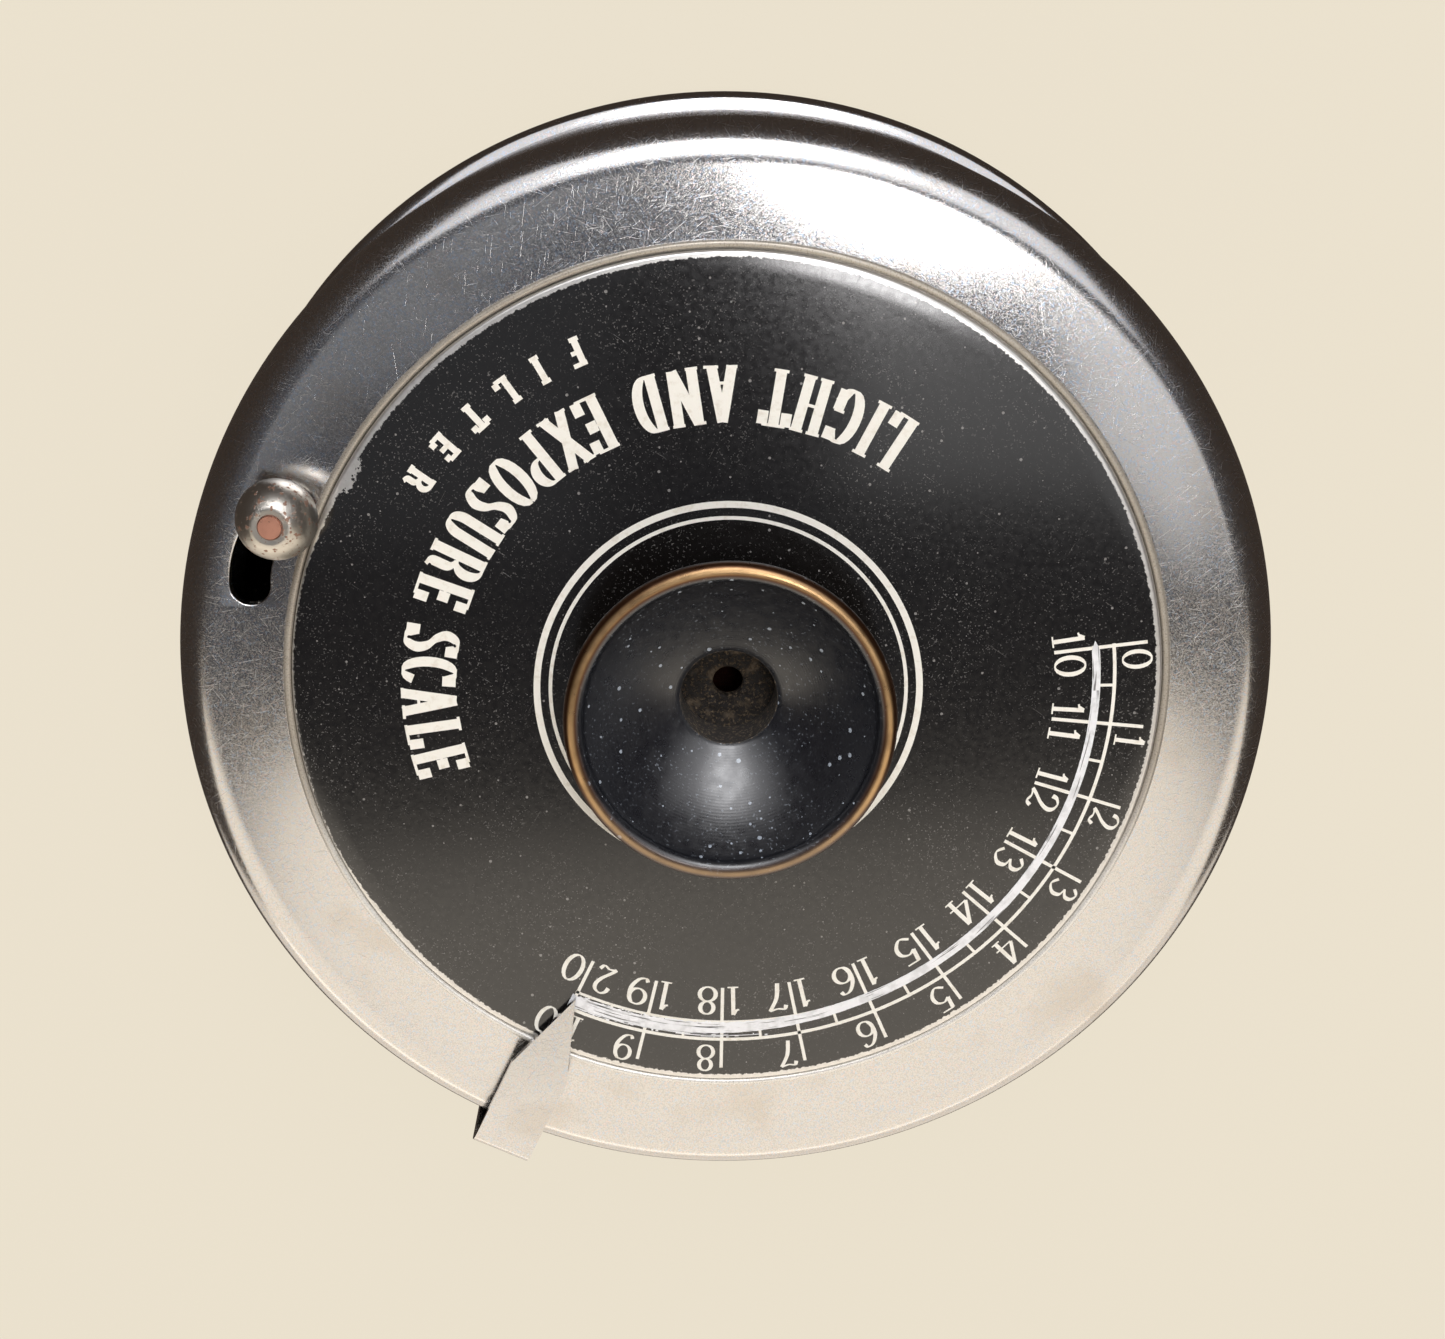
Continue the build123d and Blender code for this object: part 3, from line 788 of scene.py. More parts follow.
def softened(node: str, name: str, material, width: float, segments: int = 2) -> bpy.types.Object:
    """Copy of a CAD node with its edges rounded over.

    Args:
        node: CAD node to copy.
        name: name of the new piece.
        material: its finish.
        width: width of the rounding in millimetres.
        segments: segments of the rounding.

    Returns:
        The new piece.
    """
    bm = bmesh.new()
    bm.from_mesh(frame["nodes"][node].data)
    bmesh.ops.scale(bm, vec=(1 / MM,) * 3, verts=bm.verts)
    bmesh.ops.remove_doubles(bm, verts=bm.verts, dist=WELD)
    bmesh.ops.dissolve_limit(bm, angle_limit=math.radians(FLAT_ANGLE), verts=bm.verts, edges=bm.edges)
    steep = math.radians(EDGE_ANGLE)
    edges = [e for e in bm.edges if e.is_manifold and e.calc_face_angle(0) > steep]
    bmesh.ops.bevel(bm, geom=edges, offset=width, offset_type="OFFSET", affect="EDGES",
                    segments=segments, profile=0.5, material=-1, clamp_overlap=True)
    return finish_mesh(bm, name, material, SOFT_CRISP)


def carve(piece: bpy.types.Object, cutter: bpy.types.Object) -> None:
    """Cut one solid out of another and drop the cutter.

    Args:
        piece: solid that is cut.
        cutter: solid that is taken away.
    """
    knife = piece.modifiers.new("cut", "BOOLEAN")
    knife.operation = "DIFFERENCE"
    knife.solver = "EXACT"
    knife.object = cutter
    bpy.context.view_layer.update()
    graph = bpy.context.evaluated_depsgraph_get()
    mesh = bpy.data.meshes.new_from_object(piece.evaluated_get(graph))
    piece.modifiers.clear()
    old = piece.data
    piece.data = mesh
    bpy.data.meshes.remove(old)
    bpy.data.objects.remove(cutter)
    shade(mesh)


def settle(piece: bpy.types.Object, body: Body, slot: str, *nodes: str) -> bpy.types.Object:
    """Put a piece on its body in place of CAD nodes.

    Args:
        piece: the visible piece.
        body: body it moves with.
        slot: material slot of the record; not used.
        nodes: CAD nodes it stands for.

    Returns:
        The piece.
    """
    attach(piece, body.value)
    if nodes:
        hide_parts(*nodes)
    LOG.info("piece %s on %s, %d faces", piece.name, body.value, len(piece.data.polygons))
    return piece


# ---------------------------------------------------------------- lettering


def oval(cx: float, cy: float, rx: float, ry: float, start: float = 90.0, sweep: float = 360.0,
         steps: int = 22) -> list[Point]:
    """Part of an ellipse, as pen points in a unit-high box."""
    turns = [math.radians(start + sweep * n / steps) for n in range(steps + 1)]
    return [(cx + rx * math.cos(t), cy + ry * math.sin(t)) for t in turns]


def curve(*points: Point, steps: int = 7) -> list[Point]:
    """Smooth pen path through a few points.

    Args:
        points: points that the pen passes.
        steps: chords between two of them.

    Returns:
        Points of a Catmull-Rom curve.
    """
    line = [points[0], *points, points[-1]]
    path = []
    for a, b, c, d in zip(line, line[1:], line[2:], line[3:]):
        for n in range(steps):
            t = n / steps
            path.append(tuple(
                0.5 * (2 * q + (r - p) * t + (2 * p - 5 * q + 4 * r - s) * t * t
                       + (3 * q - p - 3 * r + s) * t ** 3) for p, q, r, s in zip(a, b, c, d)))
    path.append(points[-1])
    return path


def foot(x: float, y: float, half: float = 0.15) -> list[Point]:
    """Serif across the end of a stem."""
    return [(x - half, y), (x + half, y)]


def stem(x: float) -> list[Point]:
    """Upright of full height."""
    return [(x, 0.0), (x, 1.0)]


def bar(start: float, end: float, y: float) -> list[Point]:
    """Level stroke."""
    return [(start, y), (end, y)]


class Alphabet:
    """Pen paths of the figures and capitals, in boxes one unit high."""

    def __init__(self) -> None:
        """Lay out the paths."""
        self.glyphs: dict[str, tuple[float, list[list[Point]]]] = {
            "0": (0.62, [oval(0.31, 0.5, 0.235, 0.455)]),
            "1": (0.40, [[(0.2, 0.02), (0.2, 0.98)], curve((0.03, 0.80), (0.12, 0.84), (0.2, 0.97)),
                foot(0.2, 0.03, 0.16)]),
            "2": (0.60, [curve((0.09, 0.72), (0.13, 0.87), (0.28, 0.965), (0.45, 0.88), (0.49, 0.70),
                (0.38, 0.46), (0.16, 0.20), (0.06, 0.05)), curve((0.06, 0.06), (0.26, 0.10), (0.44, 0.03),
                (0.54, 0.17))]),
            "3": (0.58, [curve((0.08, 0.80), (0.24, 0.965), (0.42, 0.88), (0.44, 0.68), (0.24, 0.53)),
                curve((0.24, 0.53), (0.46, 0.47), (0.50, 0.22), (0.28, 0.03), (0.06, 0.17))]),
            "4": (0.62, [[(0.43, 0.98), (0.43, 0.02)], [(0.42, 0.97), (0.03, 0.30)],
                bar(0.03, 0.60, 0.29), foot(0.43, 0.03, 0.14)]),
            "5": (0.58, [[(0.13, 0.94), (0.48, 0.95)], [(0.14, 0.95), (0.10, 0.53)], curve((0.10, 0.53),
                (0.28, 0.63), (0.48, 0.52), (0.50, 0.26), (0.30, 0.03), (0.05, 0.16))]),
            "6": (0.62, [curve((0.50, 0.84), (0.42, 0.95), (0.24, 0.88), (0.09, 0.60), (0.085, 0.30),
                (0.18, 0.08), (0.32, 0.03)), oval(0.31, 0.30, 0.225, 0.27, -90, 330)]),
            "7": (0.58, [curve((0.06, 0.80), (0.12, 0.93), (0.30, 0.90), (0.53, 0.95)),
                curve((0.53, 0.95), (0.30, 0.52), (0.22, 0.02))]),
            "8": (0.60, [oval(0.30, 0.745, 0.185, 0.215), oval(0.30, 0.275, 0.225, 0.245)]),
            "9": (0.62, [curve((0.12, 0.16), (0.20, 0.05), (0.38, 0.12), (0.53, 0.40), (0.535, 0.70),
                (0.44, 0.92), (0.30, 0.97)), oval(0.31, 0.70, 0.225, 0.27, 90, 330)]),
            "/": (0.42, [[(0.02, 0.0), (0.38, 1.0)]]),
            ".": (0.2, [[(0.1, 0.0), (0.1, 0.12)]]),
            " ": (0.28, []),
            "A": (0.50, [[(0.07, 0.0), (0.24, 0.98)], [(0.40, 0.0), (0.24, 0.98)], bar(0.13, 0.36, 0.30),
                foot(0.07, 0.02, 0.09), foot(0.41, 0.02, 0.12)]),
            "C": (0.46, [oval(0.25, 0.5, 0.18, 0.465, 38, 284), [(0.40, 0.98), (0.40, 0.74)]]),
            "D": (0.50, [stem(0.12), bar(0.02, 0.22, 0.98), bar(0.02, 0.22, 0.02),
                oval(0.20, 0.5, 0.205, 0.475, 90, -180)]),
            "E": (0.45, [stem(0.12), bar(0.02, 0.38, 0.98), bar(0.02, 0.40, 0.02), bar(0.12, 0.30, 0.52),
                [(0.38, 0.98), (0.38, 0.76)], [(0.40, 0.02), (0.40, 0.26)], [(0.30, 0.42),
                (0.30, 0.62)]]),
            "F": (0.44, [stem(0.12), bar(0.02, 0.38, 0.98), bar(0.12, 0.32, 0.52),
                foot(0.12, 0.02, 0.12)]),
            "G": (0.50, [oval(0.26, 0.5, 0.185, 0.465, 42, 292), [(0.41, 0.06), (0.41, 0.44)],
                bar(0.30, 0.47, 0.44), [(0.41, 0.98), (0.41, 0.76)]]),
            "H": (0.52, [stem(0.12), stem(0.40), bar(0.12, 0.40, 0.51), foot(0.12, 0.02, 0.11),
                foot(0.12, 0.98, 0.11), foot(0.40, 0.02, 0.11), foot(0.40, 0.98, 0.11)]),
            "I": (0.28, [stem(0.13), foot(0.13, 0.02, 0.12), foot(0.13, 0.98, 0.12)]),
            "L": (0.42, [stem(0.12), bar(0.02, 0.38, 0.02), foot(0.12, 0.98, 0.12), [(0.38, 0.02),
                (0.38, 0.28)]]),
            "N": (0.54, [[(0.10, 0.0), (0.10, 0.98)], [(0.10, 0.98), (0.42, 0.02)], [(0.42, 0.02),
                (0.42, 1.0)], foot(0.08, 0.98, 0.10), foot(0.10, 0.02, 0.10), foot(0.42, 0.98, 0.10)]),
            "O": (0.48, [oval(0.24, 0.5, 0.175, 0.465)]),
            "P": (0.46, [stem(0.12), oval(0.22, 0.735, 0.17, 0.245, 90, -180), bar(0.02, 0.22, 0.98),
                bar(0.12, 0.22, 0.49), foot(0.12, 0.02, 0.12)]),
            "R": (0.50, [stem(0.12), oval(0.22, 0.745, 0.165, 0.235, 90, -180), bar(0.02, 0.22, 0.98),
                bar(0.12, 0.22, 0.51), curve((0.24, 0.51), (0.36, 0.40), (0.38, 0.10), (0.48, 0.03)),
                foot(0.12, 0.02, 0.11)]),
            "S": (0.44, [curve((0.36, 0.80), (0.30, 0.95), (0.17, 0.94), (0.09, 0.76), (0.16, 0.58),
                (0.30, 0.43), (0.36, 0.24), (0.28, 0.05), (0.15, 0.05), (0.06, 0.22)), [(0.37, 0.98),
                (0.37, 0.76)], [(0.05, 0.02), (0.05, 0.26)]]),
            "T": (0.46, [stem(0.23), bar(0.04, 0.42, 0.98), [(0.04, 0.98), (0.04, 0.74)], [(0.42, 0.98),
                (0.42, 0.74)], foot(0.23, 0.02, 0.12)]),
            "U": (0.52, [[(0.12, 0.28), (0.12, 1.0)], oval(0.26, 0.29, 0.14, 0.255, 180, 180),
                [(0.40, 0.28), (0.40, 1.0)], foot(0.12, 0.98, 0.11), foot(0.41, 0.98, 0.10)]),
            "X": (0.52, [[(0.08, 1.0), (0.42, 0.0)], [(0.41, 1.0), (0.09, 0.0)], foot(0.09, 0.98, 0.11),
                foot(0.41, 0.98, 0.09), foot(0.09, 0.02, 0.09), foot(0.42, 0.02, 0.11)]),
        }

    def width(self, text: str, spacing: float) -> float:
        """Length of a line of text in units of its height."""
        return sum(self.glyphs[c][0] for c in text) + spacing * (len(text) - 1)


ALPHABET = Alphabet()


@dataclass
class Press:
    """Printing on one round face: lays ink as thin strips that stand on the face."""

    face: float
    side: Side = Side.DIAL
    thickness: float = 0.02
    bm: bmesh.types.BMesh = field(default_factory=bmesh.new)
    count: int = 0

    def lay(self, left: list[Point], right: list[Point]) -> None:
        """Ink between two edges of equal length."""
        self.count += 1
        lift = self.thickness + 0.0004 * (self.count % 7)
        rows = [[self.bm.verts.new((x, y, lift)) for x, y in row] for row in (left, right)]
        faces = [self.bm.faces.new((a, b, d, c)) for a, b, c, d
                 in zip(rows[0], rows[0][1:], rows[1], rows[1][1:])]
        extruded = bmesh.ops.extrude_face_region(self.bm, geom=faces, use_keep_orig=True)
        down = [v for v in extruded["geom"] if isinstance(v, bmesh.types.BMVert)]
        bmesh.ops.translate(self.bm, vec=(0, 0, -lift), verts=down)

    def band(self, inner: float, outer: float, start: float = 0.0, sweep: float = 360.0) -> None:
        """Ring or arc of ink between two radii."""
        steps = max(8, int(abs(sweep) / 1.5))
        turns = [start + sweep * n / steps for n in range(steps + 1)]
        self.lay([polar(outer, t) for t in turns], [polar(inner, t) for t in turns])

    def tick(self, bearing: float, inner: float, outer: float, width: float) -> None:
        """Radial line of ink."""
        x, y = polar(1, bearing)
        side = width / 2
        edge = [[(r * x - s * y, r * y + s * x) for r in (inner, outer)] for s in (side, -side)]
        self.lay(edge[0], edge[1])

    def stroke(self, path: list[Point], weight: Weight, place) -> None:
        """One pen stroke, thick where the pen runs up and down.

        Args:
            path: points in the glyph's box.
            weight: pen.
            place: function from a glyph point to a point on the face.
        """
        thin, thick = weight.value
        left, right = [], []
        for n, (x, y) in enumerate(path):
            ahead, behind = path[min(n + 1, len(path) - 1)], path[max(n - 1, 0)]
            dx, dy = ahead[0] - behind[0], ahead[1] - behind[1]
            run = math.hypot(dx, dy) or 1.0
            half = thin + (thick - thin) * abs(dy / run) ** 1.6
            left.append(place((x - half * dy / run, y + half * dx / run)))
            right.append(place((x + half * dy / run, y - half * dx / run)))
        self.lay(left, right)

    def text(self, words: str, bearing: float, base: float, height: float, weight: Weight,
             spacing: float = 0.06, inward: bool = False, stretch: float = 1.0) -> None:
        """Line of text along a circle.

        Args:
            words: characters to print.
            bearing: bearing of the middle of the line.
            base: radius of the foot of the letters.
            height: letter height.
            weight: pen.
            spacing: gap between letters in units of height.
            inward: letters stand with their heads towards the centre.
            stretch: width of the letters against their drawn width.
        """
        turn = 1 if inward else -1
        middle = base + (-0.5 if inward else 0.5) * height
        run = -ALPHABET.width(words, spacing) / 2 * stretch
        for letter in words:
            wide, paths = ALPHABET.glyphs[letter]
            wide *= stretch
            centre = math.radians(bearing) + turn * (run + wide / 2) * height / middle
            up = Vector((math.cos(centre), math.sin(centre))) * (-1 if inward else 1)
            along = Vector((up.y, -up.x))
            origin = Vector((math.cos(centre), math.sin(centre))) * base

            def place(p: Point, o=origin, a=along, u=up, w=wide, k=stretch) -> Point:
                """Point of the face under a point of the glyph."""
                return tuple(o + a * (p[0] * k - w / 2) * height + u * p[1] * height)

            for path in paths:
                self.stroke(path, weight, place)
            run += wide + spacing * stretch

    def pull(self, name: str, material) -> bpy.types.Object:
        """Finish the print as one object."""
        bmesh.ops.recalc_face_normals(self.bm, faces=self.bm.faces)
        if self.side is Side.BACK:
            bmesh.ops.rotate(self.bm, cent=(0, 0, 0), matrix=Matrix.Rotation(math.pi, 3, "Y"),
                             verts=self.bm.verts)
        bmesh.ops.translate(self.bm, vec=(0, 0, self.face), verts=self.bm.verts)
        return finish_mesh(self.bm, name, material)


# ---------------------------------------------------------------- sub-assemblies


@dataclass
class FrontCover:
    """Drawn nickel cover with its rounded shoulder, dial lip and range slot."""

    radius: float = COVER.radius
    top: float = BEZEL_FACE
    bottom: float = COVER.low.z
    sheet: float = 0.8
    shoulder: float = 2.9
    lip: float = 0.3
    slot_half: float = 1.35
    slot_margin: float = 0.3
    slot_round: float = 0.16
    seam_round: float = 0.12
    panel_bore: float = 6.0

    def profile(self) -> list[Point]:
        """Section of the sheet, (radius, height)."""
        flat = self.radius - self.shoulder
        turn = self.top - self.shoulder
        inner = self.shoulder - self.sheet
        bore = self.radius - self.sheet
        lip_r = DIAL.radius + self.lip
        panel = DIAL.low.z
        return [
            (bore, self.bottom), (self.radius - self.seam_round, self.bottom),
            (self.radius, self.bottom + self.seam_round),
            *arc((flat, turn), self.shoulder, 0, 90, 16),
            (lip_r + self.lip + 0.08, self.top), (lip_r + self.lip + 0.01, self.top + 0.02),
            *arc((lip_r + 0.04, self.top - 0.06), self.lip - 0.04, 40, 180, 8),
            (lip_r - self.lip + 0.08, panel), (self.panel_bore, panel),
            (self.panel_bore, panel - self.sheet),
            (lip_r + self.lip + self.sheet, panel - self.sheet),
            (lip_r + self.lip + self.sheet, self.top - self.sheet),
            *arc((flat, turn), inner, 90, 0, 8),
        ]

    def slot_outline(self, half: float) -> list[Point]:
        """Outline of the curved slot about the range lever's pivot.

        Args:
            half: half of the slot's width in millimetres.

        Returns:
            Points round the outline.
        """
        joint = next(j for j in frame["joints"] if j["name"] == "range_swing")
        pivot = Vector(joint["pos_m"]) / MM
        reach = KNOB.centre.xy - pivot.xy
        start = math.degrees(math.atan2(reach.y, reach.x))
        throw, radius = joint["range_deg"][1], reach.length
        margin = math.degrees(self.slot_margin / radius)
        steps = 20
        turns = [start - margin + (throw + 2 * margin) * n / steps for n in range(steps + 1)]
        outer = [polar(radius + half, t) for t in turns]
        inner = [polar(radius - half, t) for t in turns[::-1]]
        far = arc(polar(radius, turns[-1]), half, turns[-1], turns[-1] + 180, 16)[1:-1]
        near = arc(polar(radius, turns[0]), half, turns[0] - 180, turns[0], 16)[1:-1]
        return [(pivot.x + x, pivot.y + y) for x, y in (*outer, *far, *inner, *near)]

    def slot_cutter(self) -> bpy.types.Object:
        """Solid of the slot, flared where it breaks the face so that the edge is rounded."""
        bm = bmesh.new()
        flare = self.slot_round
        levels = ((-3 * self.sheet, 0.0), (-flare, 0.0), (-0.4 * flare, 0.12 * flare),
                  (-0.12 * flare, 0.4 * flare), (0.02, flare), (3 * self.sheet, flare))
        rings = []
        for lift, wider in levels:
            outline = self.slot_outline(self.slot_half + wider)
            verts = [bm.verts.new((x, y, self.top + lift)) for x, y in outline]
            rings.append([bm.edges.new((v, w)) for v, w in zip(verts, verts[1:] + verts[:1])])
        for low, high in zip(rings, rings[1:]):
            bmesh.ops.bridge_loops(bm, edges=low + high)
        bmesh.ops.holes_fill(bm, edges=rings[0] + rings[-1])
        bmesh.ops.recalc_face_normals(bm, faces=bm.faces)
        return finish_mesh(bm, "slot_cutter", None)

    def build(self, finishes: Finishes) -> None:
        """Make and dress the cover."""
        cover = finish_mesh(spun(self.profile(), 256), "front_cover_shell", finishes.cover)
        carve(cover, self.slot_cutter())
        settle(cover, Body.CASE, "nickel", "front_cover")


@dataclass
class Dial:
    """Black dial with its double scale, lettering and the pointer's worn track."""

    radius: float = DIAL.radius
    face: float = DIAL_FACE
    zero: float = 186.96
    step: float = 12.23
    units: int = 10
    inner_arc: float = 25.1
    outer_arc: float = 26.5
    bore: float = 5.75
    edge: float = 0.28
    tick_from: float = 22.4
    tick_to: float = 28.8
    title: str = "LIGHT AND EXPOSURE SCALE"
    subtitle: str = "FILTER"
    rings: tuple[Point, ...] = ((12.87, 13.33), (12.055, 12.305))
    overrun: float = 0.35
    inner_row: Point = (22.3, 2.3)
    outer_row: Point = (26.95, 2.2)
    fray_from: float = 0.62

    def bearing(self, value: float) -> float:
        """Bearing of a value on the scale."""
        return self.zero - self.step * value

    def plate(self, finishes: Finishes) -> bpy.types.Object:
        """Disc with a soft bright edge."""
        low, edge = DIAL.low.z, self.edge
        profile = [(self.bore, low), (self.radius, low),
                   *arc((self.radius - edge, self.face - edge), edge, 0, 90, 6),
                   *[(r, self.face) for r in (self.radius - 1.5, 20.0, 12.0, self.bore)]]
        return finish_mesh(spun(profile, 256), "dial_disc", finishes.dial)

    def printing(self, finishes: Finishes) -> bpy.types.Object:
        """Scale, figures, rings and lettering."""
        press = Press(self.face)
        for ring in self.rings:
            press.band(*ring)
        sweep = -self.step * self.units - 2 * self.overrun
        for radius, half in ((self.inner_arc, 0.1), (self.outer_arc, 0.12)):
            press.band(radius - half, radius + half, self.zero + self.overrun, sweep)
        for value in range(self.units + 1):
            mark = self.bearing(value)
            press.tick(mark, self.tick_from, self.tick_to, 0.24)
            tens, ones = str(value + 10)
            lead = 1.9 if tens == "1" else 3.2
            press.text(tens, mark + lead, *self.inner_row, Weight.FIGURE, stretch=1.06)
            press.text(ones, mark - 2.65, *self.inner_row, Weight.FIGURE, stretch=1.12)
            if value < self.units:
                press.tick(self.bearing(value + 0.5), self.inner_arc, self.outer_arc, 0.2)
                press.text(str(value), mark - 2.35, *self.outer_row, Weight.FIGURE, stretch=1.08)
        press.text("1", self.bearing(10) + 1.9, 26.88, 2.33, Weight.FIGURE)
        press.text("0", self.bearing(10) - 2.4, 26.88, 2.33, Weight.FIGURE, stretch=1.08)
        press.text(self.title, 306.0, 22.35, 3.8, Weight.TITLE, 0.075, True, 1.07)
        press.text(self.subtitle, 309.0, 26.15, 1.75, Weight.PLAIN, 0.62, True, 1.5)
        return press.pull("dial_printing", finishes.ink)

    def track(self, finishes: Finishes) -> bpy.types.Object:
        """Ring of bare metal rubbed by the pointer, widest and most frayed by the last figure."""
        press = Press(self.face, thickness=0.032)
        draw = random.Random(7)
        start, end = self.zero + 1.1, self.bearing(self.units) - 0.6
        steps = 260
        turns = [start + (end - start) * n / steps for n in range(steps + 1)]
        inner, outer = [], []
        for n, turn in enumerate(turns):
            t = n / steps
            ease = min(1.0, n / 3)
            late = max(0.0, (t - self.fray_from) / (1 - self.fray_from))
            ragged = (draw.random() - 0.5) * (0.02 + 0.16 * late)
            low = 24.99 + 0.42 * late - 0.03 * t
            high = 25.5 + 0.2 * t + 0.66 * late
            middle, half = (low + high) / 2, ease * (high - low) / 2 + 0.02
            inner.append(polar(middle - half - ragged, turn))
            outer.append(polar(middle + half + ragged * 0.6, turn))
        press.lay(outer, inner)
        for _ in range(26):
            first = self.bearing(draw.uniform(6.6, 9.3))
            sweep = -draw.uniform(3, 11)
            radius = draw.uniform(25.2, 26.25)
            press.band(radius, radius + draw.uniform(0.03, 0.08), first, max(sweep, end - first))
        for _ in range(46):
            first = self.bearing(draw.uniform(7.4, 9.95))
            radius = draw.uniform(25.05, 25.3) if draw.random() < 0.6 else draw.uniform(26.0, 26.3)
            press.band(radius, radius + draw.uniform(0.06, 0.16), first, -draw.uniform(0.15, 0.7))
        return press.pull("pointer_track", finishes.track)

    def build(self, finishes: Finishes) -> None:
        """Make and dress the dial."""
        settle(self.plate(finishes), Body.CASE, "black_enamel", "dial_plate")
        settle(self.printing(finishes), Body.CASE, "black_enamel")
        settle(self.track(finishes), Body.CASE, "black_enamel")


@dataclass
class Eyecup:
    """Flared lacquered cup with a rolled rim and its sooty peephole disc."""

    radius: float = CUP.radius
    top: float = CUP.high.z
    bead: float = CUP_BEAD
    wall: float = 0.7
    foot: float = 7.4
    foot_height: float = 0.9
    neck: float = 5.6
    well: float = CUP_WELL
    well_top: float = DIAL_FACE + 1.4
    floor: float = Extent.of("peephole_disc").high.z
    sag: float = 0.55
    peephole: float = 1.05

    def bowl(self, steps: int = 22) -> list[Point]:
        """Hollow of the bowl from the rim to the well."""
        mouth = Vector((self.radius - 2 * self.bead, self.top - self.bead))
        chord = mouth - Vector((self.well, self.well_top))
        side = Vector((chord.y, -chord.x)).normalized()
        shares = [n / steps for n in range(steps + 1)]
        return [tuple(mouth - chord * t + side * (4 * self.sag * t * (1 - t))) for t in shares]

    def outside(self) -> list[Point]:
        """Outer wall from the foot up to the rim."""
        waist = (self.foot - self.wall, DIAL_FACE + self.foot_height)
        return curve(waist, (7.75, waist[1] + 1.25), (8.85, waist[1] + 2.65),
                     (10.1, waist[1] + 4.5), (self.radius - 0.03, self.top - self.bead - 0.2))

    def build(self, finishes: Finishes) -> None:
        """Make and dress the cup and its disc."""
        rim = (self.radius - self.bead, self.top - self.bead)
        profile = [
            (self.well + 0.4, self.floor), (self.well + 0.4, self.floor - 1.05),
            (self.neck, self.floor - 1.05), (self.neck, DIAL_FACE), (self.foot, DIAL_FACE),
            (self.foot, DIAL_FACE + self.foot_height - 0.2),
            (self.foot - 0.2, DIAL_FACE + self.foot_height),
            *self.outside(),
            *arc(rim, self.bead, -10, 180, 16), *self.bowl()[1:-1],
            (self.well + 0.12, self.well_top + 0.03), (self.well, self.well_top - 0.12),
            (self.well, self.floor),
        ]
        cup = finish_mesh(spun(profile, 192), "eyecup_shell", finishes.cup)
        settle(cup, Body.CASE, "lacquered_brass", "eyepiece_cup")
        self.disc(finishes)

    def disc(self, finishes: Finishes) -> None:
        """Rough disc with the peephole."""
        edge = self.well + 0.38
        low = self.floor - 0.8
        rows = [self.peephole + (edge - self.peephole) * n / 14 for n in range(1, 14)]
        profile = [(edge, low), (edge, self.floor), *[(r, self.floor) for r in rows[::-1]],
                   (self.peephole + 0.06, self.floor), (self.peephole, self.floor - 0.08),
                   (self.peephole, low)]
        bm = spun(profile, 96)
        draw = random.Random(3)
        for vert in bm.verts:
            reach = math.hypot(vert.co.x, vert.co.y)
            if abs(vert.co.z - self.floor) < 0.01 and self.peephole + 0.1 < reach < self.well:
                vert.co.z += draw.uniform(-0.09, 0.07)
        disc = finish_mesh(bm, "sooty_peephole_disc", finishes.sooty, 60)
        settle(disc, Body.CASE, "browned_brass", "peephole_disc")


@dataclass
class RangeKnob:
    """Worn ball knob on its stem, with a riveted end."""

    radius: float = KNOB.radius
    under: float = KNOB.low.z
    top: float = KNOB.high.z
    rivet: float = 0.74
    flat: float = 1.25

    def build(self, finishes: Finishes) -> None:
        """Make and dress the knob and its rivet end."""
        x, y = KNOB.centre.x, KNOB.centre.y
        centre = self.top - math.sqrt(self.radius ** 2 - self.flat ** 2)
        low_turn = math.degrees(math.asin((self.under - centre + 0.25) / self.radius))
        high_turn = math.degrees(math.acos(self.flat / self.radius))
        profile = [
            (0.9, self.under), (1.75, self.under), (2.0, self.under + 0.12),
            *arc((0, centre), self.radius, low_turn, high_turn, 28),
            (1.12, self.top), (self.rivet + 0.1, self.top - 0.02), (self.rivet + 0.02, self.top - 0.12),
            (0.0, self.top - 0.14),
        ]
        bm = spun([(0.0, self.under), *profile[1:]], 96, closed=False, axis=(x, y))
        settle(finish_mesh(bm, "ball_knob_body", finishes.knob), Body.LEVER, "worn_nickel", "ball_knob")
        cap = [(0.0, self.top - 0.3), (self.rivet, self.top - 0.3), (self.rivet, self.top - 0.02),
               (self.rivet * 0.86, self.top + 0.07), (self.rivet * 0.45, self.top + 0.13),
               (0.0, self.top + 0.14)]
        bm = spun(cap, 48, closed=False, axis=(x, y))
        settle(finish_mesh(bm, "knob_rivet_end", finishes.copper, 50), Body.LEVER, "copper_rivet")


@dataclass
class PointerArm:
    """Nickel strip bent over the rim, sharpened at its inner end."""

    rounding: float = 0.12

    def build(self, finishes: Finishes) -> None:
        """Make and dress the pointer and its rivets."""
        arm = softened("pointer", "pointer_arm", finishes.nickel, self.rounding, 3)
        settle(arm, Body.ROTOR, "nickel", "pointer")
        rivets = softened("pointer_rivets", "pointer_rivet_heads", finishes.nickel, 0.04)
        settle(rivets, Body.ROTOR, "nickel", "pointer_rivets")


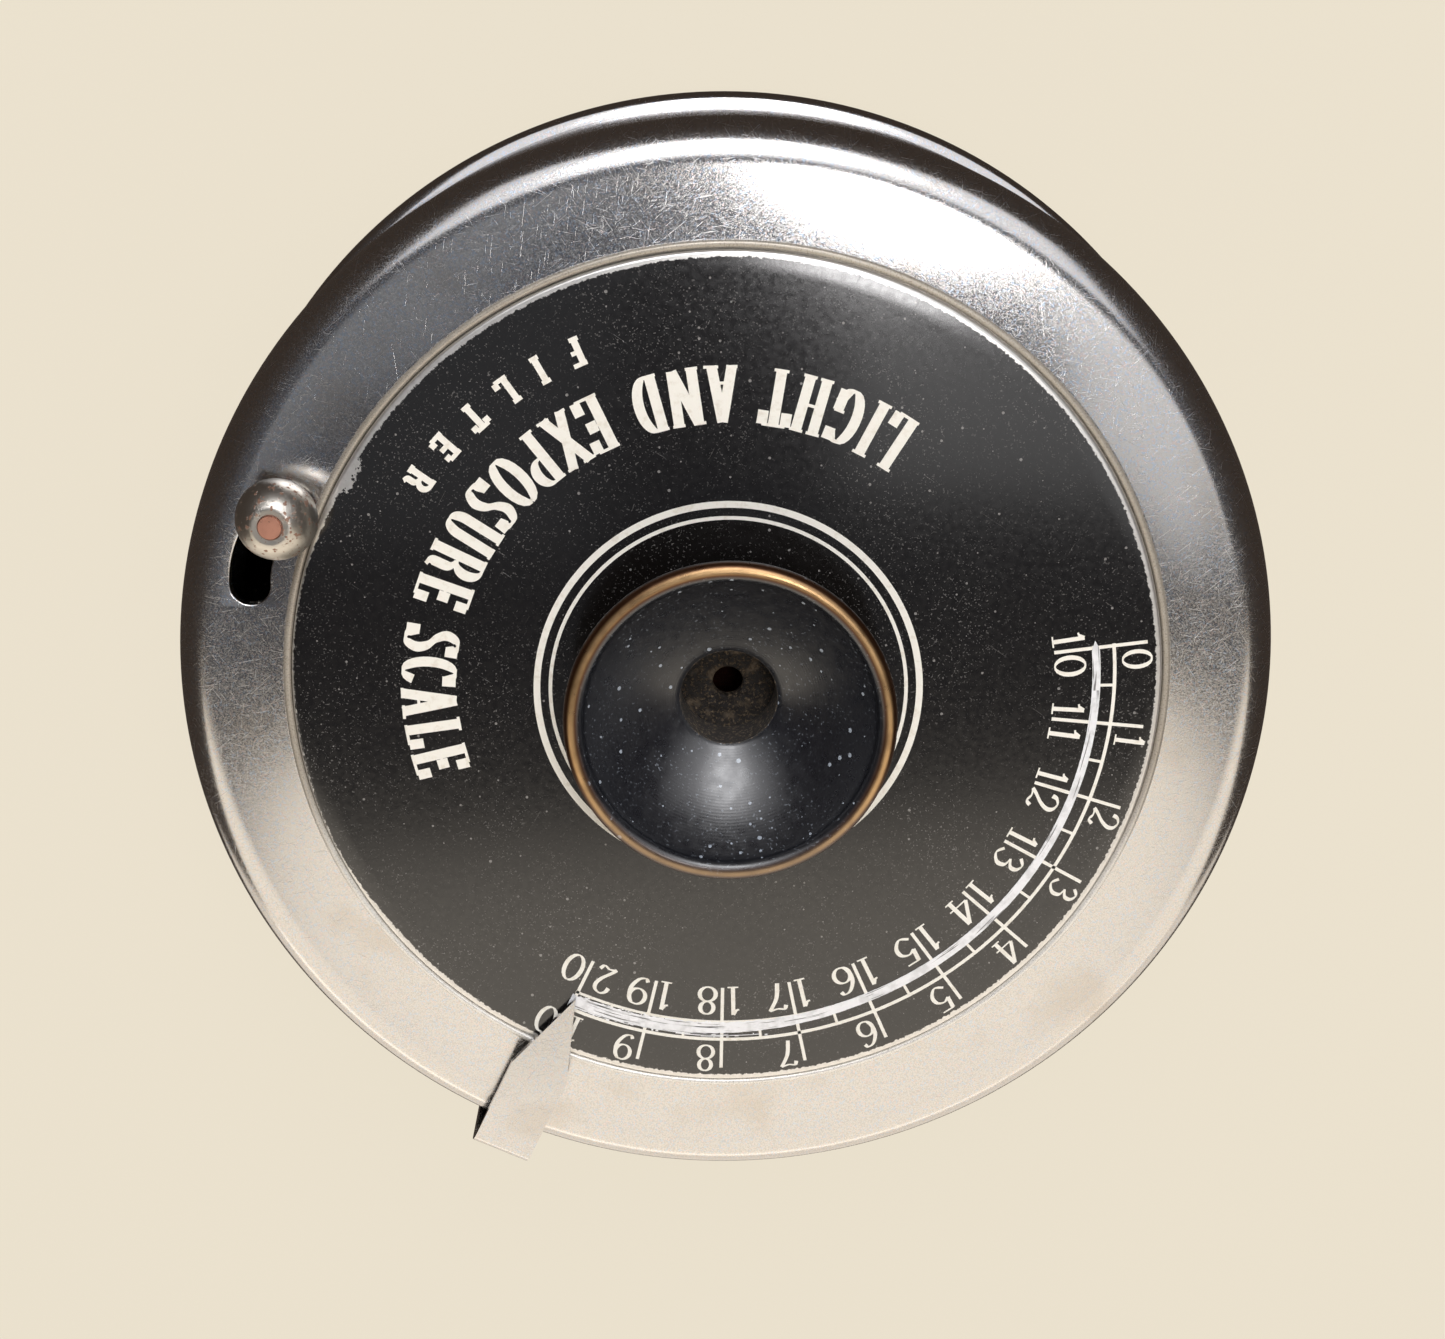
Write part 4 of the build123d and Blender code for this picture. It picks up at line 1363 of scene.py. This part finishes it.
@dataclass
class TurningBack:
    """Beaded rear rim, printed back plate and window bezel."""

    radius: float = RIM.radius
    bead: float = 1.6
    well: float = RIM.radius - 3.8
    plate: float = BACK.low.z
    hole: float = 5.4
    groove: float = 0.25
    marks: int = 72

    def flange(self) -> list[Point]:
        """Upper side of the bead, nearly flat where it stands out beyond the cover."""
        edge, mid = self.radius, self.bead
        slope = curve((edge, mid), (edge - 0.07, mid + 0.48), (edge - 0.3, mid + 0.82),
                      (edge - 0.65, mid + 1.02), (edge - 1.0, mid + 1.13))
        return [*slope, (edge - 1.06, mid + 1.38), (edge - 1.25, 2 * mid)]

    def rim(self, finishes: Finishes) -> None:
        """Turned rim with its bead."""
        seat = BACK.radius
        centre = self.radius - self.bead
        profile = [
            *arc((centre, self.bead), self.bead, -90, -6, 12), *self.flange(),
            (seat + 0.8, 2 * self.bead), (seat + 0.8, RIM.high.z), (seat, RIM.high.z),
            (seat, self.plate), (self.well, self.plate), (self.well, self.groove),
            *arc((self.well + self.groove, self.groove), self.groove, 180, 270, 4),
        ]
        rim = finish_mesh(spun(profile, 256), "rear_rim", finishes.bead)
        settle(rim, Body.ROTOR, "nickel", "rear_ring")

    def scale(self, finishes: Finishes) -> None:
        """Plate and its printed ring of exposure times."""
        inner, top = DISC.radius, BACK.high.z
        profile = [(self.hole, self.plate), (self.hole, top), (BACK.radius, top),
                   (BACK.radius, self.plate), (inner, self.plate)]
        plate = finish_mesh(spun(profile, 192), "back_plate_disc", finishes.black)
        settle(plate, Body.ROTOR, "black_enamel", "back_plate")
        press = Press(self.plate, Side.BACK)
        press.band(inner + 0.5, inner + 0.7)
        press.band(self.well - 0.55, self.well - 0.3)
        times = ("1/50", "1/25", "1/10", "1/5", "1/2", "1", "2", "4", "8", "15", "30", "60")
        for index in range(self.marks):
            turn = 90 - 360 * index / self.marks
            major = index % 6 == 0
            press.tick(turn, inner + 0.7, inner + (2.4 if major else 1.5), 0.22 if major else 0.14)
            if major:
                press.text(times[index // 6], turn, inner + 3.2, 2.3, Weight.FINE, 0.12)
            elif index % 3 == 0:
                press.tick(turn, inner + 3.6, inner + 5.0, 0.16)
        settle(press.pull("back_plate_printing", finishes.ink), Body.ROTOR, "black_enamel")

    def window(self, finishes: Finishes) -> None:
        """Bezel round the sight window."""
        bezel = softened("window_bezel", "window_bezel_ring", finishes.bead, 0.08)
        settle(bezel, Body.ROTOR, "nickel", "window_bezel")

    def build(self, finishes: Finishes) -> None:
        """Make and dress the back."""
        self.rim(finishes)
        self.scale(finishes)
        self.window(finishes)


@dataclass
class CalculatorDisc:
    """Ivory disc with lens stops and plate speeds, turned by two studs."""

    radius: float = DISC.radius
    low: float = DISC.low.z
    high: float = DISC.high.z
    bore: float = 6.25
    edge: float = 0.16
    marks: int = 96

    def build(self, finishes: Finishes) -> None:
        """Make and dress the disc and its studs."""
        edge = self.edge
        profile = [(self.bore, self.high), (self.bore, self.low), (12.0, self.low), (20.0, self.low),
                   *arc((self.radius - edge, self.low + edge), edge, -90, 0, 4),
                   (self.radius, self.high)]
        disc = finish_mesh(spun(profile, 192), "calculator_disc_face", finishes.ivory)
        settle(disc, Body.CALCULATOR, "ivory_enamel", "calculator_disc")
        self.printing(finishes)
        self.studs(finishes)

    def printing(self, finishes: Finishes) -> None:
        """Stops, speeds and their rings."""
        press = Press(self.low, Side.BACK)
        rim = self.radius
        for inner, outer in ((rim - 0.35, rim - 0.2), (rim - 6.0, rim - 5.8), (rim - 10.6, rim - 10.4),
                             (self.bore + 2.6, self.bore + 2.8)):
            press.band(inner, outer)
        stops = ("3", "4", "5.6", "8", "11", "16", "22", "32", "45", "64", "6", "9")
        for index in range(self.marks):
            turn = 90 - 360 * index / self.marks
            major = index % 8 == 0
            press.tick(turn, rim - (2.0 if major else 1.2), rim - 0.35, 0.22 if major else 0.13)
            if major:
                press.text(stops[index // 8], turn, rim - 4.9, 2.1, Weight.FINE, 0.12)
        speeds = ("1", "2", "3", "5", "7", "10", "14", "20", "28", "40")
        for index, speed in enumerate(speeds):
            turn = 90 - 360 * (index + 0.5) / len(speeds)
            press.text(speed, turn, rim - 9.6, 2.0, Weight.FINE, 0.12)
            press.tick(turn, rim - 7.0, rim - 6.0, 0.18)
        press.text("EXPOSURE", 90, rim - 14.6, 2.2, Weight.TITLE, 0.16)
        press.text("SCALE", 270, rim - 12.4, 2.2, Weight.TITLE, 0.16, True)
        settle(press.pull("calculator_printing", finishes.dark_ink), Body.CALCULATOR, "ivory_enamel")

    def studs(self, finishes: Finishes) -> None:
        """Small domed finger studs."""
        studs = softened("disc_grips", "finger_studs", finishes.bead, 0.2, 4)
        settle(studs, Body.CALCULATOR, "nickel", "disc_grips")


class Works:
    """Finishes of the hidden and plain pieces that stay as CAD nodes."""

    BRASS = ("eyepiece_nut", "bridge_plate", "hub_tube", "hub_nut", "pillars", "guide_rails",
             "barrel_bridge", "cam_posts", "cam_plate", "hub_bush", "filter_ring", "glass_ring")
    STEEL = ("cover_screws", "pillar_screws", "rail_screws", "cam_screws", "lever_stud", "stud_clip",
             "friction_washer", "follower_pin")
    BROWNED = ("light_barrel", "filter_holder", "slide_carrier")

    def build(self, finishes: Finishes) -> None:
        """Give every remaining node its finish."""
        table = {
            **dict.fromkeys(self.BRASS, finishes.brass),
            **dict.fromkeys(self.STEEL, finishes.steel),
            **dict.fromkeys(self.BROWNED, finishes.browned),
            **dict.fromkeys(("range_filter", "wedge_glass"), finishes.smoked),
            # partly painted shade: blackened arm keeps the slot above it as black as shade
            "lever_arm": finishes.blued,
            "knob_stem": finishes.copper,
            "blue_filter": finishes.blue_glass,
            "window_glass": finishes.clear,
        }
        for name, material in table.items():
            mesh = frame["nodes"][name].data
            mesh.materials.clear()
            mesh.materials.append(material)
            LOG.info("node %s finished in %s", name, material.name)


# ---------------------------------------------------------------- studio


@dataclass
class Studio:
    """Pale floor, soft light and the camera above the dial."""

    lens: float = 50.73
    sensor: float = 36.0
    stand: tuple[float, float, float] = (2.67, -43.38, 132.56)
    right: tuple[float, float, float] = (-0.99987, -0.0025, 0.01624)
    up: tuple[float, float, float] = (-0.0025, -0.95369, -0.30076)
    back: tuple[float, float, float] = (0.01624, -0.30076, 0.95356)

    def camera(self) -> None:
        """Camera over the instrument's lower edge, looking down at the dial."""
        data = bpy.data.cameras.new("camera")
        data.lens = self.lens
        data.sensor_width = self.sensor
        data.clip_start = 0.005
        data.clip_end = 20
        eye = added("camera", data)
        turn = Matrix((self.right, self.up, self.back)).transposed().to_4x4()
        place = (Vector(self.stand) + Vector((0, 0, DIAL_FACE))) * MM
        eye.matrix_world = Matrix.Translation(place) @ turn
        bpy.context.scene.camera = eye

    def lamp(self, name: str, reach: float, lean: float, bearing: float, size: tuple[float, float],
             glow: float, colour: Colour, roll: float = 0.0) -> None:
        """Area light aimed at the dial.

        Args:
            name: its name.
            reach: distance from the dial in millimetres.
            lean: degrees off the vertical.
            bearing: bearing it stands on, in degrees.
            size: width and height in millimetres; equal values give a disc.
            glow: brightness of its face.
            colour: its colour.
            roll: degrees turned about the line to the dial.
        """
        away = Vector((*polar(math.sin(math.radians(lean)), bearing), math.cos(math.radians(lean))))
        area = size[0] * size[1] * MM * MM * (math.pi / 4 if size[0] == size[1] else 1)
        data = bpy.data.lights.new(name, "AREA")
        data.shape = "DISK" if size[0] == size[1] else "RECTANGLE"
        data.size = size[0] * MM
        if size[0] != size[1]:
            data.size_y = size[1] * MM
        data.energy = glow * math.pi * area
        data.color = colour
        lamp = added(name, data)
        lamp.location = (away * reach + Vector((0, 0, DIAL_FACE))) * MM
        lamp.rotation_mode = "QUATERNION"
        spin = Matrix.Rotation(math.radians(roll), 3, away).to_quaternion()
        lamp.rotation_quaternion = spin @ (-away).to_track_quat("-Z", "Y")
        lamp.visible_camera = False

    def lights(self) -> None:
        """A flash beside the camera, a warm card past the top of the dial, a pale one before it."""
        self.lamp("flash", 158, 14.3, 226, (34, 34), 12.5, (1.0, 0.98, 0.98))
        self.lamp("flash_spill", 163, 21.5, 181, (44, 84), 0.8, (1.0, 0.99, 0.98))
        self.lamp("window", 160, 16, 352, (66, 62), 0.16, (0.93, 0.96, 1.0))
        self.lamp("warm_card", 500, 56.5, 90, (1300, 662), 1.24, (1.0, 0.905, 0.77), 4.0)
        self.lamp("low_card", 500, 107, 90, (1300, 420), 0.95, (1.0, 0.90, 0.77))
        self.lamp("front_card", 420, 43, 262, (640, 322), 1.1, (0.97, 0.97, 1.0))
        self.lamp("front_core", 415, 46, 266, (225, 225), 5.5, (0.98, 0.98, 1.0))

    def floor(self) -> None:
        """Pale floor and a pale surround that only the camera sees."""
        s = Shader("floor_paper", (0.05, 0.045, 0.037), 0.0, 0.9)
        s.colour(s.mix(s.noise(60, 3.0), (0.05, 0.045, 0.037), (0.045, 0.041, 0.034)))
        s.bsdf.inputs["Emission Color"].default_value = (0.785, 0.717, 0.587, 1)
        s.set(Emission_Strength=1.0, Specular_IOR_Level=0.0)
        bm = bmesh.new()
        bmesh.ops.create_grid(bm, x_segments=2, y_segments=2, size=4000)
        floor = finish_mesh(bm, "floor", s.material)
        floor.visible_glossy = False
        floor.visible_shadow = False
        glow = Shader("surround", (0, 0, 0), 0.0, 1.0)
        glow.bsdf.inputs["Emission Color"].default_value = (0.82, 0.755, 0.63, 1)
        glow.set(Emission_Strength=1.0)
        bm = bmesh.new()
        bmesh.ops.create_uvsphere(bm, u_segments=48, v_segments=24, radius=9000)
        dome = finish_mesh(bm, "surround", glow.material)
        dome.visible_glossy = False
        dome.visible_diffuse = False
        dome.visible_transmission = False
        dome.visible_shadow = False

    def air(self) -> None:
        """Dim room: grey-blue overhead, brown towards the horizon."""
        world = bpy.data.worlds.new("room")
        world.use_nodes = True
        nodes, links = world.node_tree.nodes, world.node_tree.links
        coord = nodes.new("ShaderNodeTexCoord")
        parts = nodes.new("ShaderNodeSeparateXYZ")
        ramp = nodes.new("ShaderNodeValToRGB")
        links.new(coord.outputs["Generated"], parts.inputs[0])
        links.new(parts.outputs[2], ramp.inputs[0])
        links.new(ramp.outputs[0], nodes["Background"].inputs[0])
        stops = ramp.color_ramp.elements
        stops[0].position, stops[0].color = 0.0, (0.052, 0.039, 0.031, 1)
        stops[1].position, stops[1].color = 1.0, (0.085, 0.09, 0.105, 1)
        middle = stops.new(0.6)
        middle.color = (0.056, 0.046, 0.041, 1)
        bpy.context.scene.world = world

    def build(self) -> None:
        """Set everything round the instrument."""
        self.camera()
        self.lights()
        self.floor()
        self.air()
        bpy.context.scene.view_settings.view_transform = "Standard"


def main() -> None:
    logging.basicConfig(level=logging.INFO, format="%(message)s")
    finishes = Finishes()
    for part in (FrontCover(), Dial(), Eyecup(), RangeKnob(), PointerArm(), TurningBack(),
                 CalculatorDisc(), Works()):
        LOG.info("building %s", type(part).__name__)
        part.build(finishes)
    Studio().build()


if __name__ == "__main__":
    main()
